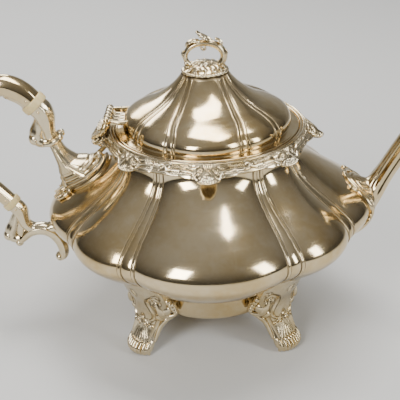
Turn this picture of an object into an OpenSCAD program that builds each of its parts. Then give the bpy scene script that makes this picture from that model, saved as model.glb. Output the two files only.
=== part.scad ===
// Teapot in silver plate: a lobed melon bowl on four scroll feet, with a hinged domed lid,
// an insulated scroll handle and a curved spout.
// Millimetres. The origin is on the table under the pot's axis, +X points to the spout, +Z up.

/* [Bowl] */
// Radius of the bowl's ribs at the girth
girth_r = 97.4; // [95.5:0.1:98.5]
// Height of the girth above the table
girth_z = 82; // [81:0.5:83]
// How far the lobe at the spout stands out past its ribs at the girth
lobe_depth = 9.5; // [6:0.5:10]
// Polar angle from the spout to the bowl's first rib
rib_1 = 28; // [28:4:32]
// Polar angle from the spout to the bowl's second rib
rib_2 = 60; // [60:4:64]
// Thickness of the raised silver sheet
wall = 1.5; // [1.2:0.1:1.8]

/* [Rim and lid] */
// Radius of the bowl's neck under the bezel
neck_r = 59; // [58.8:0.1:59.4]
// Height of the neck's upper edge
neck_z = 131; // [130.5:0.5:131]
// Height of the ledge that the lid rests on
seat_z = 138.3; // [138:0.1:138.5]
// Radius of the lid's flat flange
lid_r = 58.3; // [57.5:0.1:58.4]
// Radius of the lid's dome at its ribs
dome_r = 48.4; // [47.6:0.2:48.8]
// Polar angle from the spout to the lid's first rib
lid_rib_1 = 32; // [28:4:32]
// Polar angle from the spout to the lid's second rib
lid_rib_2 = 64; // [60:4:64]
// Height of the lid's flat crown
crown_z = 174.5; // [173:0.5:175]

/* [Hinge] */
// Distance of the hinge pin from the pot's axis
hinge_x = 62.3; // [62:0.1:62.8]
// Height of the hinge pin
hinge_z = 147.9; // [147.5:0.1:148.4]
// Outside radius of the knuckles
knuckle_r = 2.4; // [2.2:0.1:2.7]
// Radius of the hinge pin
pin_r = 1.1; // [0.9:0.05:1.2]
// Length of the five knuckles together
hinge_len = 25; // [24:0.5:28]

/* [Feet] */
// Radius of the circle on which the feet stand
feet_r = 69.5; // [69:0.1:70]
// Polar angle of a foot from the spout
foot_angle = 45; // [43:1:47]
// Radius of each flat pad under a toe
pad_r = 3.3; // [2.8:0.1:3.5]

/* [Handle] */
// Radius of the upper insulating ring
insulator_1_r = 8.4; // [8:0.1:8.8]
// Radius of the lower insulating ring
insulator_2_r = 6.3; // [6:0.1:6.8]

/* [Hidden] */

silver = [0.78, 0.76, 0.70];
cast_silver = [0.70, 0.67, 0.60];
bone = [0.87, 0.82, 0.66];
fit_gap = 0.05;      // between two pieces soldered face to face
move_gap = 0.3;      // between the lid and what it rests on
columns = 90;        // facets round the bowl and the lid
column = 360 / columns;

// ---- curves -------------------------------------------------------------------------------

// A point of the Catmull-Rom curve between b and c
function curve_point(a, b, c, d, t) =
    0.5 * (2 * b + (c - a) * t + (2 * a - 5 * b + 4 * c - d) * t * t
        + (3 * b - a - 3 * c + d) * t * t * t);

// A smooth curve through the points p, with n steps between each two
function curve(p, n) = let (last = len(p) - 1) concat(
    [for (i = [0 : last - 1]) for (j = [0 : n - 1])
        curve_point(p[max(i - 1, 0)], p[i], p[i + 1], p[min(i + 2, last)], j / n)],
    [p[last]]);

function unit(v) = v / norm(v);

// Direction of travel along the points p at point i
function heading(p, i) = unit(p[min(i + 1, len(p) - 1)] - p[max(i - 1, 0)]);

// The outline p in the r-z plane, moved inwards by t
function inset(p, t) = [for (i = [0 : len(p) - 1])
    let (h = heading(p, i)) [p[i][0] - h[1] * t, p[i][1] + h[0] * t]];

function reversed(p) = [for (i = [len(p) - 1 : -1 : 0]) p[i]];

// ---- closed skins of rings ----------------------------------------------------------------

// Two triangles for each cell between ring i and the next one
function skin(m, n, closed) = [for (i = [0 : closed ? m - 1 : m - 2]) for (j = [0 : n - 1])
    let (a = i * n + j, b = i * n + (j + 1) % n, c = ((i + 1) % m) * n + (j + 1) % n,
        d = ((i + 1) % m) * n + j)
    each [[a, c, b], [a, d, c]]];

// A hollow solid: the rings run up the outside and back down the inside
module ring_loop(rings) {
    polyhedron([for (r = rings) each r], skin(len(rings), len(rings[0]), true), 10);
}

function middle(r) = [for (i = [0 : 2]) [for (q = r) q[i]] * [for (q = r) 1]] / len(r);

// A full solid, closed over its first and last ring
module ring_rod(rings) {
    m = len(rings);
    n = len(rings[0]);
    end = m * n;
    polyhedron(concat([for (r = rings) each r], [middle(rings[0]), middle(rings[m - 1])]),
        concat(skin(m, n, false),
            [for (j = [0 : n - 1]) [end, j, (j + 1) % n]],
            [for (j = [0 : n - 1]) [end + 1, (m - 1) * n + (j + 1) % n, (m - 1) * n + j]]), 10);
}

// A ring of n points in the plane of travel: c its centre, v its half height, w its half width in Y
function ring(c, v, w, n) = [for (j = [0 : n - 1]) let (a = 360 * j / n)
    [c[0] + v[0] * cos(a), -w * sin(a), c[1] + v[1] * cos(a)]];

// Rings along a path of [x, z, half height, half width], in the plane Y = 0
function path_rings(p, n) = let (xz = [for (q = p) [q[0], q[1]]]) [for (i = [0 : len(p) - 1])
    let (t = heading(xz, i)) ring(xz[i], [-t[1], t[0]] * p[i][2], p[i][3], n)];

// Rings between an upper and a lower edge, from rows of [x, z, x, z, half width]
function edge_rings(p, n, inwards = 0) = [for (q = p)
    let (c = [q[0] + q[2], q[1] + q[3]] / 2, v = [q[0] - q[2], q[1] - q[3]] / 2)
    ring(c, v * (1 - inwards / norm(v)), q[4] - inwards, n)];

module swept_rod(p, n = 14, steps = 3) ring_rod(path_rings(curve(p, steps), n));

// ---- the lobed bowl -----------------------------------------------------------------------

// A polar angle folded into the first quarter
function folded(a) = let (b = ((a % 180) + 180) % 180) b > 90 ? 180 - b : b;

// Height of an arched lobe, from 0 on its ribs at a1 and a2 to 1 between them
function arch(a, a1, a2) = 1 - pow((2 * a - a1 - a2) / (a2 - a1), 2);

// Share of the lobe depth at polar angle a, with ribs at r1 and r2 in each quarter
end_lobe = 1;
corner_lobe = 0.64;
side_lobe = 0.98;
function swell(a, r1, r2) = let (c = folded(a))
    c < r1 ? end_lobe * arch(c, -r1, r1)
    : c < r2 ? corner_lobe * arch(c, r1, r2)
    : side_lobe * arch(c, r2, 180 - r2);

pan_z = 43.5;
pan_r = 52;
bowl_rows = [[52.2, pan_z], [62, 50.8], [73.5, 59], [84.5, 67.2], [93.4, 74.6],
    [girth_r, girth_z], [95, 88.4], [87.6, 95.2], [77.6, 102.2], [67.6, 109.6], [61, 116.8],
    [58.2, 124], [neck_r, neck_z]];
bowl_line = curve(bowl_rows, 2);
bowl_inner = inset(bowl_rows, wall);

// How strongly the lobes show at height z, as a share of their depth at the girth
lobe_rows = [[pan_z, 0.7], [60, 0.9], [75, 0.95], [86, 1], [98, 1.02], [110, 0.82],
    [124, 0.18], [neck_z, 0]];
full_rows = [[pan_z, 0.9], [52, 1.12], [60, 1.26], [68, 1.26], [76, 1.08], [84, 0.96], [91, 1.1],
    [98, 1.3], [105, 1.4], [112, 1.22], [118, 0.84], [124, 0.4], [128, 0.12], [neck_z, 0]];

// How far the bowl stands out beyond its ribs at polar angle a and height z. The lobes at the
// spout and the handle are flatter above and below the girth than the others
function bulge(a, z) = lobe_depth * swell(a, rib_1, rib_2)
    * lookup(z, folded(a) < rib_1 ? lobe_rows : full_rows);

function bowl_ring(q) = [for (j = [0 : columns - 1])
    let (a = column * j, r = q[0] + bulge(a, q[1]))
    [r * cos(a), r * sin(a), q[1]]];

// Outer radius of the bowl at polar angle a and height z
function bowl_reach(a, z) = lookup(z, [for (q = bowl_line) [q[1], q[0]]])
    + bulge(a, z);

function round_ring(r, z) = [for (j = [0 : columns - 1]) let (a = column * j)
    [r * cos(a), r * sin(a), z]];

// Height of the bowl's underside at polar angle a and radius r
function bowl_under(a, r) = lookup(r, [for (q = bowl_line) if (q[1] <= girth_z)
    [q[0] + bulge(a, q[1]), q[1]]]);

// Distance from the YZ plane to the bowl's outer surface at y and z
function bowl_x(y, z, x = 90, tries = 5) = tries == 0 ? x
    : bowl_x(y, z, sqrt(pow(bowl_reach(atan2(y, x), z), 2) - y * y), tries - 1);

// A ring on the bowl's surface: side is 1 at the spout and -1 at the handle
seat_gap = 0.15;
function bowl_patch(side, z, half_height, half_width, n, lift = seat_gap) = [for (j = [0 : n - 1])
    let (a = side * 360 * j / n, y = -half_width * sin(a) * side,
        h = z + half_height * cos(a))
    [side * (bowl_x(y, h) + lift), y, h]];

// Rings that close a piece over the bowl's surface
function bowl_seat(side, z, half_height, half_width, n) = [for (k = [1, 0.6, 0.3, 0.1])
    bowl_patch(side, z, k * half_height, k * half_width, n)];

spout_hole_r = 9;
spout_z = 84;

module bowl() {
    color(silver) difference() {
        ring_loop(concat([round_ring(pan_r, pan_z + wall), round_ring(pan_r, pan_z)],
            [for (q = concat(bowl_line, reversed(bowl_inner))) bowl_ring(q)]));
        translate([girth_r - 20, 0, spout_z]) rotate([0, 90, 0])
            cylinder(r = spout_hole_r, h = 40, $fn = 48);
    }
}

// ---- base pan, rim bezel and cast border --------------------------------------------------

pan_floor_z = 21.5;

module base_pan() {
    r = pan_r - 0.3;
    outside = [[0, pan_floor_z], [44, pan_floor_z], [48.4, 22.6], [51, 25.4], [51.6, 30],
        [r, 38], [r, pan_z + 1]];
    inside = [[r - wall, pan_z + 1], [r - wall, 38], [50.1, 30], [49.6, 26.4], [47.6, 24],
        [44, pan_floor_z + wall], [0, pan_floor_z + wall]];
    color(silver) rotate_extrude($fn = 120)
        polygon(concat(outside, inside));
}

bezel_out = 60.8;
bezel_in = 54.8;
skirt_r = neck_r - wall - 1.2;

module rim_bezel() {
    wall_in = lid_r + 0.8;
    color(silver) rotate_extrude($fn = 120)
        polygon([[bezel_in, 127], [skirt_r, 127], [skirt_r, neck_z + 0.3],
            [bezel_out, neck_z + 0.3], [bezel_out, seat_z + 1.5],
            [wall_in, seat_z + 1.5], [wall_in, seat_z], [bezel_in, seat_z]]);
}

// A pointed bump of height h and half width w degrees, centred at c
function tip(a, c, w, h) = let (d = abs(((a - c + 540) % 360) - 180))
    h * pow(max(0, 1 - d / w), 1.3);

// Outline of the cast border: eight leaf tips round a circle
border_r = 62.6;
tips = [[0, 19, 11.5], [40, 13, 4.8], [90, 17, 5.6], [140, 13, 4.8],
    [180, 19, 11.5], [220, 13, 4.8], [270, 17, 5.6], [320, 13, 4.8]];
function border_reach(a, i = 0) = i == len(tips) ? border_r
    : tip(a, tips[i][0], tips[i][1], tips[i][2]) + border_reach(a, i + 1);

module rim_border() {
    top = seat_z + 1.9;
    in_r = bezel_out + fit_gap;
    function at(a, r, z) = [r * cos(a), r * sin(a), z];
    function row(k) = [for (j = [0 : columns - 1]) let (a = column * j, o = border_reach(a),
        lip = 134.7 - min(2.2, 0.5 * (o - border_r)))
        k == 0 ? at(a, o - 0.9, lip - 1.7)
        : k == 1 ? at(a, o, lip)
        : k == 2 ? at(a, (o + border_r) / 2 - 0.3, lip + 3)
        : k == 3 ? at(a, in_r + 1.3, top)
        : k == 4 ? at(a, in_r, top - 0.8)
        : at(a, in_r, neck_z + fit_gap)];
    color(cast_silver) ring_loop([for (k = [0 : 5]) row(k)]);
}

// ---- spout --------------------------------------------------------------------------------

spout_wall = 1.3;
// Upper edge, lower edge and half width of the spout, from the bowl to the mouth
spout_edges = [[104.4, 97.4, 109.4, 74.6, 9.8], [107, 100, 113, 82.6, 8],
    [111.6, 106.8, 119.6, 97, 6.8], [118, 117.8, 127.2, 110.4, 6.4],
    [125.5, 129.8, 134.4, 123, 6.2], [134.5, 141, 142.6, 134.2, 6],
    [145.5, 150.6, 151, 142.2, 5.9], [155.8, 156.6, 159.4, 147.4, 6], [158.4, 158, 161.8, 148, 6.4]];

module spout() {
    n = 24;
    line = curve(spout_edges, 2);
    outside = concat([bowl_patch(1, 74.5, 25.5, 20.5, n, 1.2), bowl_patch(1, 78, 18.2, 14.8, n, 5.2)],
        edge_rings(line, n));
    inside = concat(reversed(edge_rings(line, n, spout_wall)),
        [bowl_patch(1, 78, 16.7, 13.3, n, 3.8), bowl_patch(1, 74.5, 23.1, 18.3, n, 1.2)]);
    color(silver) ring_loop(concat(outside, inside));
}

// A cup with a pierced floor, set in the bowl's wall behind the spout
module spout_strainer() {
    floor_x = girth_r - 3.4;
    depth = 10;
    pitch = 5.1;
    color(silver) translate([floor_x, 0, spout_z]) rotate([0, 90, 0]) difference() {
        cylinder(r = spout_hole_r - fit_gap, h = depth, $fn = 48);
        translate([0, 0, 1]) cylinder(r = spout_hole_r - 1, h = depth, $fn = 48);
        for (k = [0 : 6]) rotate([0, 0, 60 * k]) translate([k == 6 ? 0 : pitch, 0, -1])
            cylinder(r = 1.5, h = 4, $fn = 24);
    }
}

// ---- lid ----------------------------------------------------------------------------------

flange_z = seat_z + move_gap;
flange_top = flange_z + 1.2;
dome_foot = flange_top + 1.2;
lid_edge = [[lid_r, flange_z], [lid_r, flange_top], [55.4, flange_top],
    [54, flange_top + 0.5], [dome_r + 3, dome_foot]];
lid_rows = [[dome_r + 1.9, dome_foot + 0.8], [dome_r + 1, 145.4], [46, 150.4], [39.6, 154.2],
    [32.2, 157.4], [25.4, 161.2], [19.8, 166], [15.8, 171], [13.7, crown_z]];
stud_r = 2;
stud_hole_r = 2.6;

// How strongly the lid's lobes show at height z
lid_lobe_depth = 2.6;
function lid_lobe(z) = z < dome_foot ? 0
    : lid_lobe_depth * sin(180 * pow((z - dome_foot) / (crown_z - dome_foot), 0.55)) + 0.2;

// The inner ribs lean apart towards the crown
function lean(z) = lookup(z, [[150, 0], [160, -8], [168, -14], [crown_z, -19]]);
function lid_ring(q) = [for (j = [0 : columns - 1])
    let (a = column * j,
        r = q[0] + lid_lobe(q[1]) * swell(a, lid_rib_1, lid_rib_2 + lean(q[1])))
    [r * cos(a), r * sin(a), q[1]]];

module lid_dome() {
    under = reversed(inset(lid_rows, wall));
    color(silver) ring_loop(concat(
        [for (q = concat(lid_edge, curve(lid_rows, 2))) lid_ring(q)],
        [round_ring(stud_hole_r, crown_z), round_ring(stud_hole_r, crown_z - wall)],
        [for (q = under) let (z = min(q[1], crown_z - wall)) lid_ring([q[0], z])],
        [round_ring(dome_r + 0.6, flange_z)]));
}

lid_bezel_out = bezel_in - 1.6;

module lid_bezel() {
    color(silver) rotate_extrude($fn = 120)
        polygon([[lid_bezel_out - 1.3, flange_z], [lid_bezel_out - 1.3, flange_z - 5],
            [lid_bezel_out, flange_z - 5], [lid_bezel_out, flange_z]]);
}

// ---- finial -------------------------------------------------------------------------------

module finial_base() {
    color(cast_silver) {
        rotate_extrude($fn = 72) polygon([[0, crown_z + fit_gap], [13.2, crown_z + fit_gap],
            [14.6, crown_z + 1],
            [14, crown_z + 2], [11.4, crown_z + 2.6], [9.6, crown_z + 4], [8, crown_z + 5.4],
            [0, crown_z + 6]]);
        translate([0, 0, crown_z - 7.5]) cylinder(r = stud_r, h = 8, $fn = 32);
    }
}

loop_z = 184.3;
loop_x = 11.9;
loop_h = 8.4;

module finial_loop() {
    bar = [for (a = [-62 : 19 : 242]) let (thick = 1.9 + 0.35 * cos(a) + 0.2 * sin(a))
        [loop_x * cos(a), loop_z + loop_h * sin(a), thick, thick]];
    leaf = [[7, 190.5, 1.4, 1.6], [4, 193.4, 1.5, 2.4], [0.5, 195.8, 1.2, 2.6],
        [-2.6, 198, 1, 1.8], [-4.6, 199.8, 0.7, 0.9]];
    curl = [[2.6, 192.6, 1.1, 1.4], [-0.6, 193.6, 1.1, 1.4], [-1.8, 190.6, 1, 1.2],
        [-0.2, 187.6, 0.8, 0.9]];
    color(cast_silver) {
        ring_rod(path_rings(bar, 14));
        swept_rod(leaf, 10, 2);
        swept_rod(curl, 10, 2);
    }
}

washer_z = crown_z - wall - 1.2;
nut_h = 3.2;

module finial_washer() {
    color(silver) translate([0, 0, washer_z]) difference() {
        cylinder(r = 6, h = 1.15, $fn = 48);
        translate([0, 0, -1]) cylinder(r = stud_hole_r, h = 4, $fn = 32);
    }
}

module finial_nut() {
    color(silver) translate([0, 0, washer_z - nut_h - fit_gap]) difference() {
        cylinder(r = 4.2, h = nut_h, $fn = 6);
        translate([0, 0, -1]) cylinder(r = stud_r + 0.05, h = nut_h + 2, $fn = 32);
    }
}

// ---- hinge --------------------------------------------------------------------------------

knuckles = 5;
knuckle_len = hinge_len / knuckles;
side_gap = 0.15;

// Knuckle k of the hinge, grown outwards by extra and lengthways by longer
module knuckle(k, extra = 0, longer = 0) {
    translate([-hinge_x, (k - knuckles / 2) * knuckle_len + side_gap - longer, hinge_z])
        rotate([-90, 0, 0])
            cylinder(r = knuckle_r + extra, h = knuckle_len - 2 * side_gap + 2 * longer, $fn = 36);
}

module pin_bore() {
    translate([-hinge_x, 0, hinge_z]) rotate([90, 0, 0])
        cylinder(r = pin_r + 0.05, h = 2 * hinge_len, center = true, $fn = 32);
}

// Standing leaf with the first, third and fifth knuckle, on the bezel and the border
module hinge_body_leaf() {
    web_w = hinge_len - 2 * side_gap;
    foot_z = seat_z + 1.5;
    border_top = seat_z + 1.9;
    color(cast_silver) difference() {
        union() {
            translate([-hinge_x - 1.1, -web_w / 2, foot_z])
                cube([2.2, web_w, hinge_z - foot_z]);
            translate([-hinge_x - 3.4, -web_w / 2, foot_z]) cube([6.6, web_w, 1.6]);
            for (k = [0, 2, 4]) knuckle(k);
        }
        for (k = [1, 3]) knuckle(k, 0.5, 2 * side_gap);
        pin_bore();
        translate([0, 0, foot_z - 1]) cylinder(r = lid_r + 1, h = 10, $fn = 120);
        rotate_extrude($fn = 120) translate([bezel_out, foot_z - 4])
            square([9, border_top + fit_gap - foot_z + 4]);
    }
}

// Flat leaf with the second and fourth knuckle, from the pin to the dome
module hinge_lid_leaf() {
    half = hinge_len / 2 - side_gap;
    plate_z = hinge_z - 2.5;
    reach = dome_r + 1.4 + lid_lobe(plate_z) + 0.35;
    turn = asin(half / reach);
    color(cast_silver) difference() {
        union() {
            translate([0, 0, plate_z]) linear_extrude(1.9)
                polygon(concat([[-hinge_x + 0.5, half], [-hinge_x + 0.5, -half]],
                    [for (i = [-5 : 5]) let (a = turn * i / 5) [-reach * cos(a), reach * sin(a)]]));
            for (k = [1, 3]) knuckle(k);
        }
        for (k = [0, 2, 4]) knuckle(k, 0.5, 2 * side_gap);
        pin_bore();
    }
}

module hinge_pin() {
    head = 0.8;
    len = hinge_len + 0.1;
    color(silver) translate([-hinge_x, 0, hinge_z]) rotate([90, 0, 0]) {
        cylinder(r = pin_r, h = len + 1, center = true, $fn = 32);
        for (s = [-1, 1]) translate([0, 0, s * (len + head) / 2])
            cylinder(r = 2.1, h = head, center = true, $fn = 32);
    }
}

// ---- handle -------------------------------------------------------------------------------

// Centre of each insulating ring, and the direction of the handle there, as [x, z]
upper_at = [-108.7, 157.2];
upper_dir = unit([-0.657, 0.754]);
lower_at = [-131.8, 87.7];
lower_dir = unit([0.647, -0.763]);
ring_1_h = 5.6;
ring_2_h = 4.6;
tenon_1_r = 5.8;
tenon_2_r = 3.9;
tenon_len = 4.4;

// Places its children at p, with +Z along d in the plane Y = 0
module along(p, d) translate([p[0], 0, p[1]]) rotate([0, atan2(d[0], d[1]), 0]) children();

// A disc with a stepped tenon on each side, drilled for its two pins
module insulator(r, h, tenon_r, pin) {
    difference() {
        union() {
            cylinder(r = r, h = h, center = true, $fn = 64);
            cylinder(r = tenon_r, h = h + 2 * tenon_len, center = true, $fn = 48);
        }
        for (s = [-1, 1]) translate([0, 0, s * (h / 2 + tenon_len / 2)]) rotate([90, 0, 0])
            cylinder(r = pin + 0.02, h = 4 * r, center = true, $fn = 24);
    }
}

pin_1_r = 0.9;
pin_2_r = 0.7;
tube_wall = 1.2;
tube_1_r = 7.2;
tube_2_r = 5.3;

module handle_upper_insulator() {
    color(bone) along(upper_at, upper_dir) insulator(insulator_1_r, ring_1_h, tenon_1_r, pin_1_r);
}

module handle_lower_insulator() {
    color(bone) along(lower_at, lower_dir) insulator(insulator_2_r, ring_2_h, tenon_2_r, pin_2_r);
}

// Two rivets through a ring's tenons, flush with the tubes that they hold
module rivets(at, dir, h, r, tube_r) {
    along(at, dir) for (s = [-1, 1]) translate([0, 0, s * (h / 2 + tenon_len / 2)])
        rotate([90, 0, 0]) cylinder(r = r, h = 2 * tube_r + 0.3, center = true, $fn = 24);
}

module handle_upper_pins() {
    color(silver) rivets(upper_at, upper_dir, ring_1_h, pin_1_r, tube_1_r);
}

module handle_lower_pins() {
    color(silver) rivets(lower_at, lower_dir, ring_2_h, pin_2_r, tube_2_r);
}

// The rivets' holes, cut from the tubes
module rivet_holes(at, dir, h, r, tube_r) {
    along(at, dir) for (s = [-1, 1]) translate([0, 0, s * (h / 2 + tenon_len / 2)])
        rotate([90, 0, 0]) cylinder(r = r + 0.04, h = 4 * tube_r, center = true, $fn = 24);
}

upper_face = ring_1_h / 2 + fit_gap;
lower_face = ring_2_h / 2 + fit_gap;
straight = tenon_len + 0.4;

// A point on the handle's line, at distance s past an insulating ring
function beyond(at, dir, s, r) = concat(at + dir * s, [r, r]);

grip_line = concat(
    [beyond(upper_at, upper_dir, upper_face, tube_1_r)],
    curve([beyond(upper_at, upper_dir, upper_face + straight, tube_1_r + 0.2),
        [-120.6, 167.4, 7.8, 7.6], [-129, 169.8, 7.1, 7.2], [-141, 166.4, 6.5, 6.8],
        [-150.8, 155, 6.2, 6.6], [-155.8, 138.6, 6.1, 6.4], [-154, 120.6, 5.8, 6],
        [-146.6, 105, 5.5, 5.6],
        beyond(lower_at, -lower_dir, lower_face + straight, tube_2_r)], 2),
    [beyond(lower_at, -lower_dir, lower_face, tube_2_r)]);

function thinner(p, t) = [for (q = p) [q[0], q[1], q[2] - t, q[3] - t]];

module handle_grip() {
    n = 20;
    color(silver) difference() {
        ring_loop(concat(path_rings(grip_line, n),
            reversed(path_rings(thinner(grip_line, tube_wall), n))));
        rivet_holes(upper_at, upper_dir, ring_1_h, pin_1_r, tube_1_r);
        rivet_holes(lower_at, lower_dir, ring_2_h, pin_2_r, tube_2_r);
    }
}

// Edge rows square to the handle's line, at distance s below the upper ring
function socket_row(s, r) = let (c = upper_at - upper_dir * s, v = [upper_dir[1], -upper_dir[0]] * r)
    [c[0] + v[0], c[1] + v[1], c[0] - v[0], c[1] - v[1], r];

module handle_upper_socket() {
    n = 20;
    rows = concat([socket_row(upper_face, tube_1_r)],
        curve([socket_row(upper_face + straight, tube_1_r), [-96.2, 149, -107.8, 143.6, 6.6],
            [-96.9, 142, -106, 139.4, 5.8], [-96.6, 136, -104.4, 134, 5.4],
            [-93.8, 131, -102.4, 129, 5.6], [-90.4, 125, -100.2, 122.4, 6.8],
            [-84.6, 120.4, -98, 114, 9]], 2));
    curl = [[-108.9, 147.6, 2.2, 3.4], [-108.8, 143.4, 2.9, 3.8], [-109.5, 138.6, 3.8, 4.2],
        [-109.7, 134, 4.5, 4.6], [-107.4, 131.6, 4, 4.4], [-104.4, 131.4, 3, 4]];
    color(cast_silver) difference() {
        union() {
            ring_rod(concat(edge_rings(rows, n), bowl_seat(-1, 108, 10.8, 14, n)));
            swept_rod(curl, 10, 2);
        }
        along(upper_at - upper_dir * upper_face, -upper_dir)
            cylinder(r = tenon_1_r + 0.15, h = 2 * tenon_len + 0.4, center = true, $fn = 48);
        rivet_holes(upper_at, upper_dir, ring_1_h, pin_1_r, tube_1_r);
    }
}

module handle_lower_socket() {
    n = 14;
    stem = concat([beyond(lower_at, lower_dir, lower_face, tube_2_r)],
        curve([beyond(lower_at, lower_dir, lower_face + straight, tube_2_r),
            [-126.2, 77, 4.6, 5.1], [-125.2, 72.4, 4.2, 5], [-121.6, 68.4, 4, 5]], 2));
    arm = [[-130.4, 57.6, 2.4, 3.2], [-126.4, 61.8, 3.2, 4.4], [-120.4, 66.4, 4, 5.2],
        [-113, 67.2, 4.2, 5.4], [-106.8, 64, 4.3, 5.2], [-102.6, 57.6, 4, 4.9],
        [-101.2, 50.6, 3.6, 4.5], [-101.9, 46, 3.1, 4], [-104, 44.8, 2.2, 3.4]];
    lug = [[-112, 67, 3.2, 4], [-104, 68.6, 4.2, 4.6]];
    curl = [[-130.4, 78.6, 2.4, 3.4], [-132.2, 73.4, 2.9, 3.9], [-134.2, 68.4, 3.5, 4.2],
        [-136, 64, 4, 4.3], [-133.6, 61.4, 3.4, 4.2], [-130.4, 61.6, 2.6, 3.8]];
    color(cast_silver) difference() {
        union() {
            ring_rod(path_rings(stem, 16));
            swept_rod(arm, n, 2);
            ring_rod(concat(path_rings(lug, n), bowl_seat(-1, 71, 5.6, 5.6, n)));
            swept_rod(curl, 10, 2);
        }
        along(lower_at + lower_dir * lower_face, lower_dir)
            cylinder(r = tenon_2_r + 0.15, h = 2 * tenon_len + 0.4, center = true, $fn = 48);
        rivet_holes(lower_at, lower_dir, ring_2_h, pin_2_r, tube_2_r);
    }
}

// ---- feet ---------------------------------------------------------------------------------

// Rows of [inner radius, outer radius, height, half width] down a foot, below its seat
foot_rows = curve([[54.2, 69, 42, 17.5], [53.4, 65.8, 35, 16.5], [53.6, 64.6, 27, 12.5],
    [57, 66, 19, 10], [61, 70.4, 10.5, 9.2], [64, 74.2, 4.2, 9], [65.5, 73.2, 1.2, 7]], 2);
seat_r = 66.2;
seat_half = 8.2;

// A foot bent round the pot's axis: its seat follows the bowl, its toe has a flat pad
module foot(turn) {
    n = 16;
    function section(q, seated) = [for (j = [0 : n - 1]) let (a = 360 * j / n, c = cos(a),
        s = sin(a), mid = (q[0] + q[1]) / 2, half = (q[1] - q[0]) / 2,
        r = mid + half * sign(c) * pow(abs(c), 0.7),
        w = q[3] * sign(s) * pow(abs(s), 0.8), t = turn + w / mid * 180 / PI)
        [r * cos(t), r * sin(t), seated ? bowl_under(t, r) - q[2] : q[2]]];
    color(cast_silver) {
        ring_rod(concat([for (q = reversed(foot_rows)) section(q, false)],
            [for (k = [1, 0.6, 0.3, 0.1])
                section([seat_r - k * seat_half, seat_r + k * seat_half, 0.55, 15 * k], true)]));
        rotate([0, 0, turn]) translate([feet_r, 0, 0]) cylinder(r = pad_r, h = 6, $fn = 32);
    }
}

module foot_front_left() foot(180 + foot_angle);
module foot_front_right() foot(-foot_angle);
module foot_back_left() foot(180 - foot_angle);
module foot_back_right() foot(foot_angle);

bowl();
base_pan();
rim_bezel();
rim_border();
spout();
spout_strainer();
lid_dome();
lid_bezel();
finial_base();
finial_loop();
finial_washer();
finial_nut();
hinge_body_leaf();
hinge_lid_leaf();
hinge_pin();
handle_upper_socket();
handle_upper_insulator();
handle_grip();
handle_lower_insulator();
handle_lower_socket();
handle_upper_pins();
handle_lower_pins();
foot_front_left();
foot_front_right();
foot_back_left();
foot_back_right();
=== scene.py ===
import math

import bpy
import numpy as np
from mathutils import Matrix, Vector


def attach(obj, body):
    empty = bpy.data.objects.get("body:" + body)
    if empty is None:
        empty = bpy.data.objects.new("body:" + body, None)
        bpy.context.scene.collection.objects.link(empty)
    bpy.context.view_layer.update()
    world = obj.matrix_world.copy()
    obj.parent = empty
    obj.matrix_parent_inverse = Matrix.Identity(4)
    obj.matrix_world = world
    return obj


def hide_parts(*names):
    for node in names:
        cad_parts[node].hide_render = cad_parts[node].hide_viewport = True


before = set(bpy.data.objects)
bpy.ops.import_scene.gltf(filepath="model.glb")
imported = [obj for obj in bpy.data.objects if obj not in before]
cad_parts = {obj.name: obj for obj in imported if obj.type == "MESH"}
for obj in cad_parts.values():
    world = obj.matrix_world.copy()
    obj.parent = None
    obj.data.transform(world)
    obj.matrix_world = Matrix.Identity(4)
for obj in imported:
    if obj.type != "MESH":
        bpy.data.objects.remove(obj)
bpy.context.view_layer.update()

# ---- points, curves and fields, in millimetres --------------------------------------------

TAU = 2 * math.pi
SIDES = (-1, 1)
MM = 0.001


def unit(v):
    v = np.asarray(v, float)
    return v / np.maximum(np.linalg.norm(v, axis=-1, keepdims=True), 1e-9)


def phases(n):
    return TAU * np.arange(n) / n


def bell(x, middle, width):
    return np.exp(-((x - middle) / width) ** 2)


def hump(x, width, power=0.5):
    """1 in the middle and 0 from x = width on, with a round top."""
    return np.clip(1 - (x / width) ** 2, 0, 1) ** power


def spread(values, n, stops=None):
    """n values read along a short list, evenly or from the given stops."""
    v = np.atleast_1d(np.asarray(values, float))
    return np.interp(np.linspace(0, 1, n), np.linspace(0, 1, len(v)) if stops is None else stops, v)


def round_points(r, t, z):
    """Points at radius r, angle t and height z."""
    return np.stack(np.broadcast_arrays(r * np.cos(t), r * np.sin(t), z), axis=-1)


def curve(points, steps):
    """A smooth curve through the points, with so many steps between each two."""
    p = np.asarray(points, float)
    last = len(p) - 1
    t = (np.arange(steps) / steps)[:, None]
    out = []
    for i in range(last):
        a, b, c, d = p[max(i - 1, 0)], p[i], p[i + 1], p[min(i + 2, last)]
        out.append(0.5 * (2 * b + (c - a) * t + (2 * a - 5 * b + 4 * c - d) * t ** 2
                          + (3 * b - a - 3 * c + d) * t ** 3))
    return np.concatenate([*out, p[-1:]])


def resample(p, n):
    """n points evenly spaced along the polyline p."""
    p = np.asarray(p, float)
    s = np.concatenate([[0], np.cumsum(np.linalg.norm(np.diff(p[:, :2], axis=0), axis=1))])
    at = np.linspace(0, s[-1], n)
    return np.stack([np.interp(at, s, p[:, k]) for k in range(p.shape[1])], axis=1)


def soften(p, width):
    """The polyline p with its kinks smoothed over so many points. The ends stay."""
    for _ in range(3):
        q = np.concatenate([2 * p[:1] - p[1:width + 1][::-1], p, 2 * p[-1:] - p[-width - 1:-1][::-1]])
        c = np.cumsum(np.concatenate([np.zeros((1, p.shape[1])), q]), axis=0)
        p = (c[2 * width + 1:] - c[:-2 * width - 1]) / (2 * width + 1)
    return p


def smooth_line(points, n, width, steps=24):
    return soften(resample(curve(points, steps), n), width)


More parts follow.
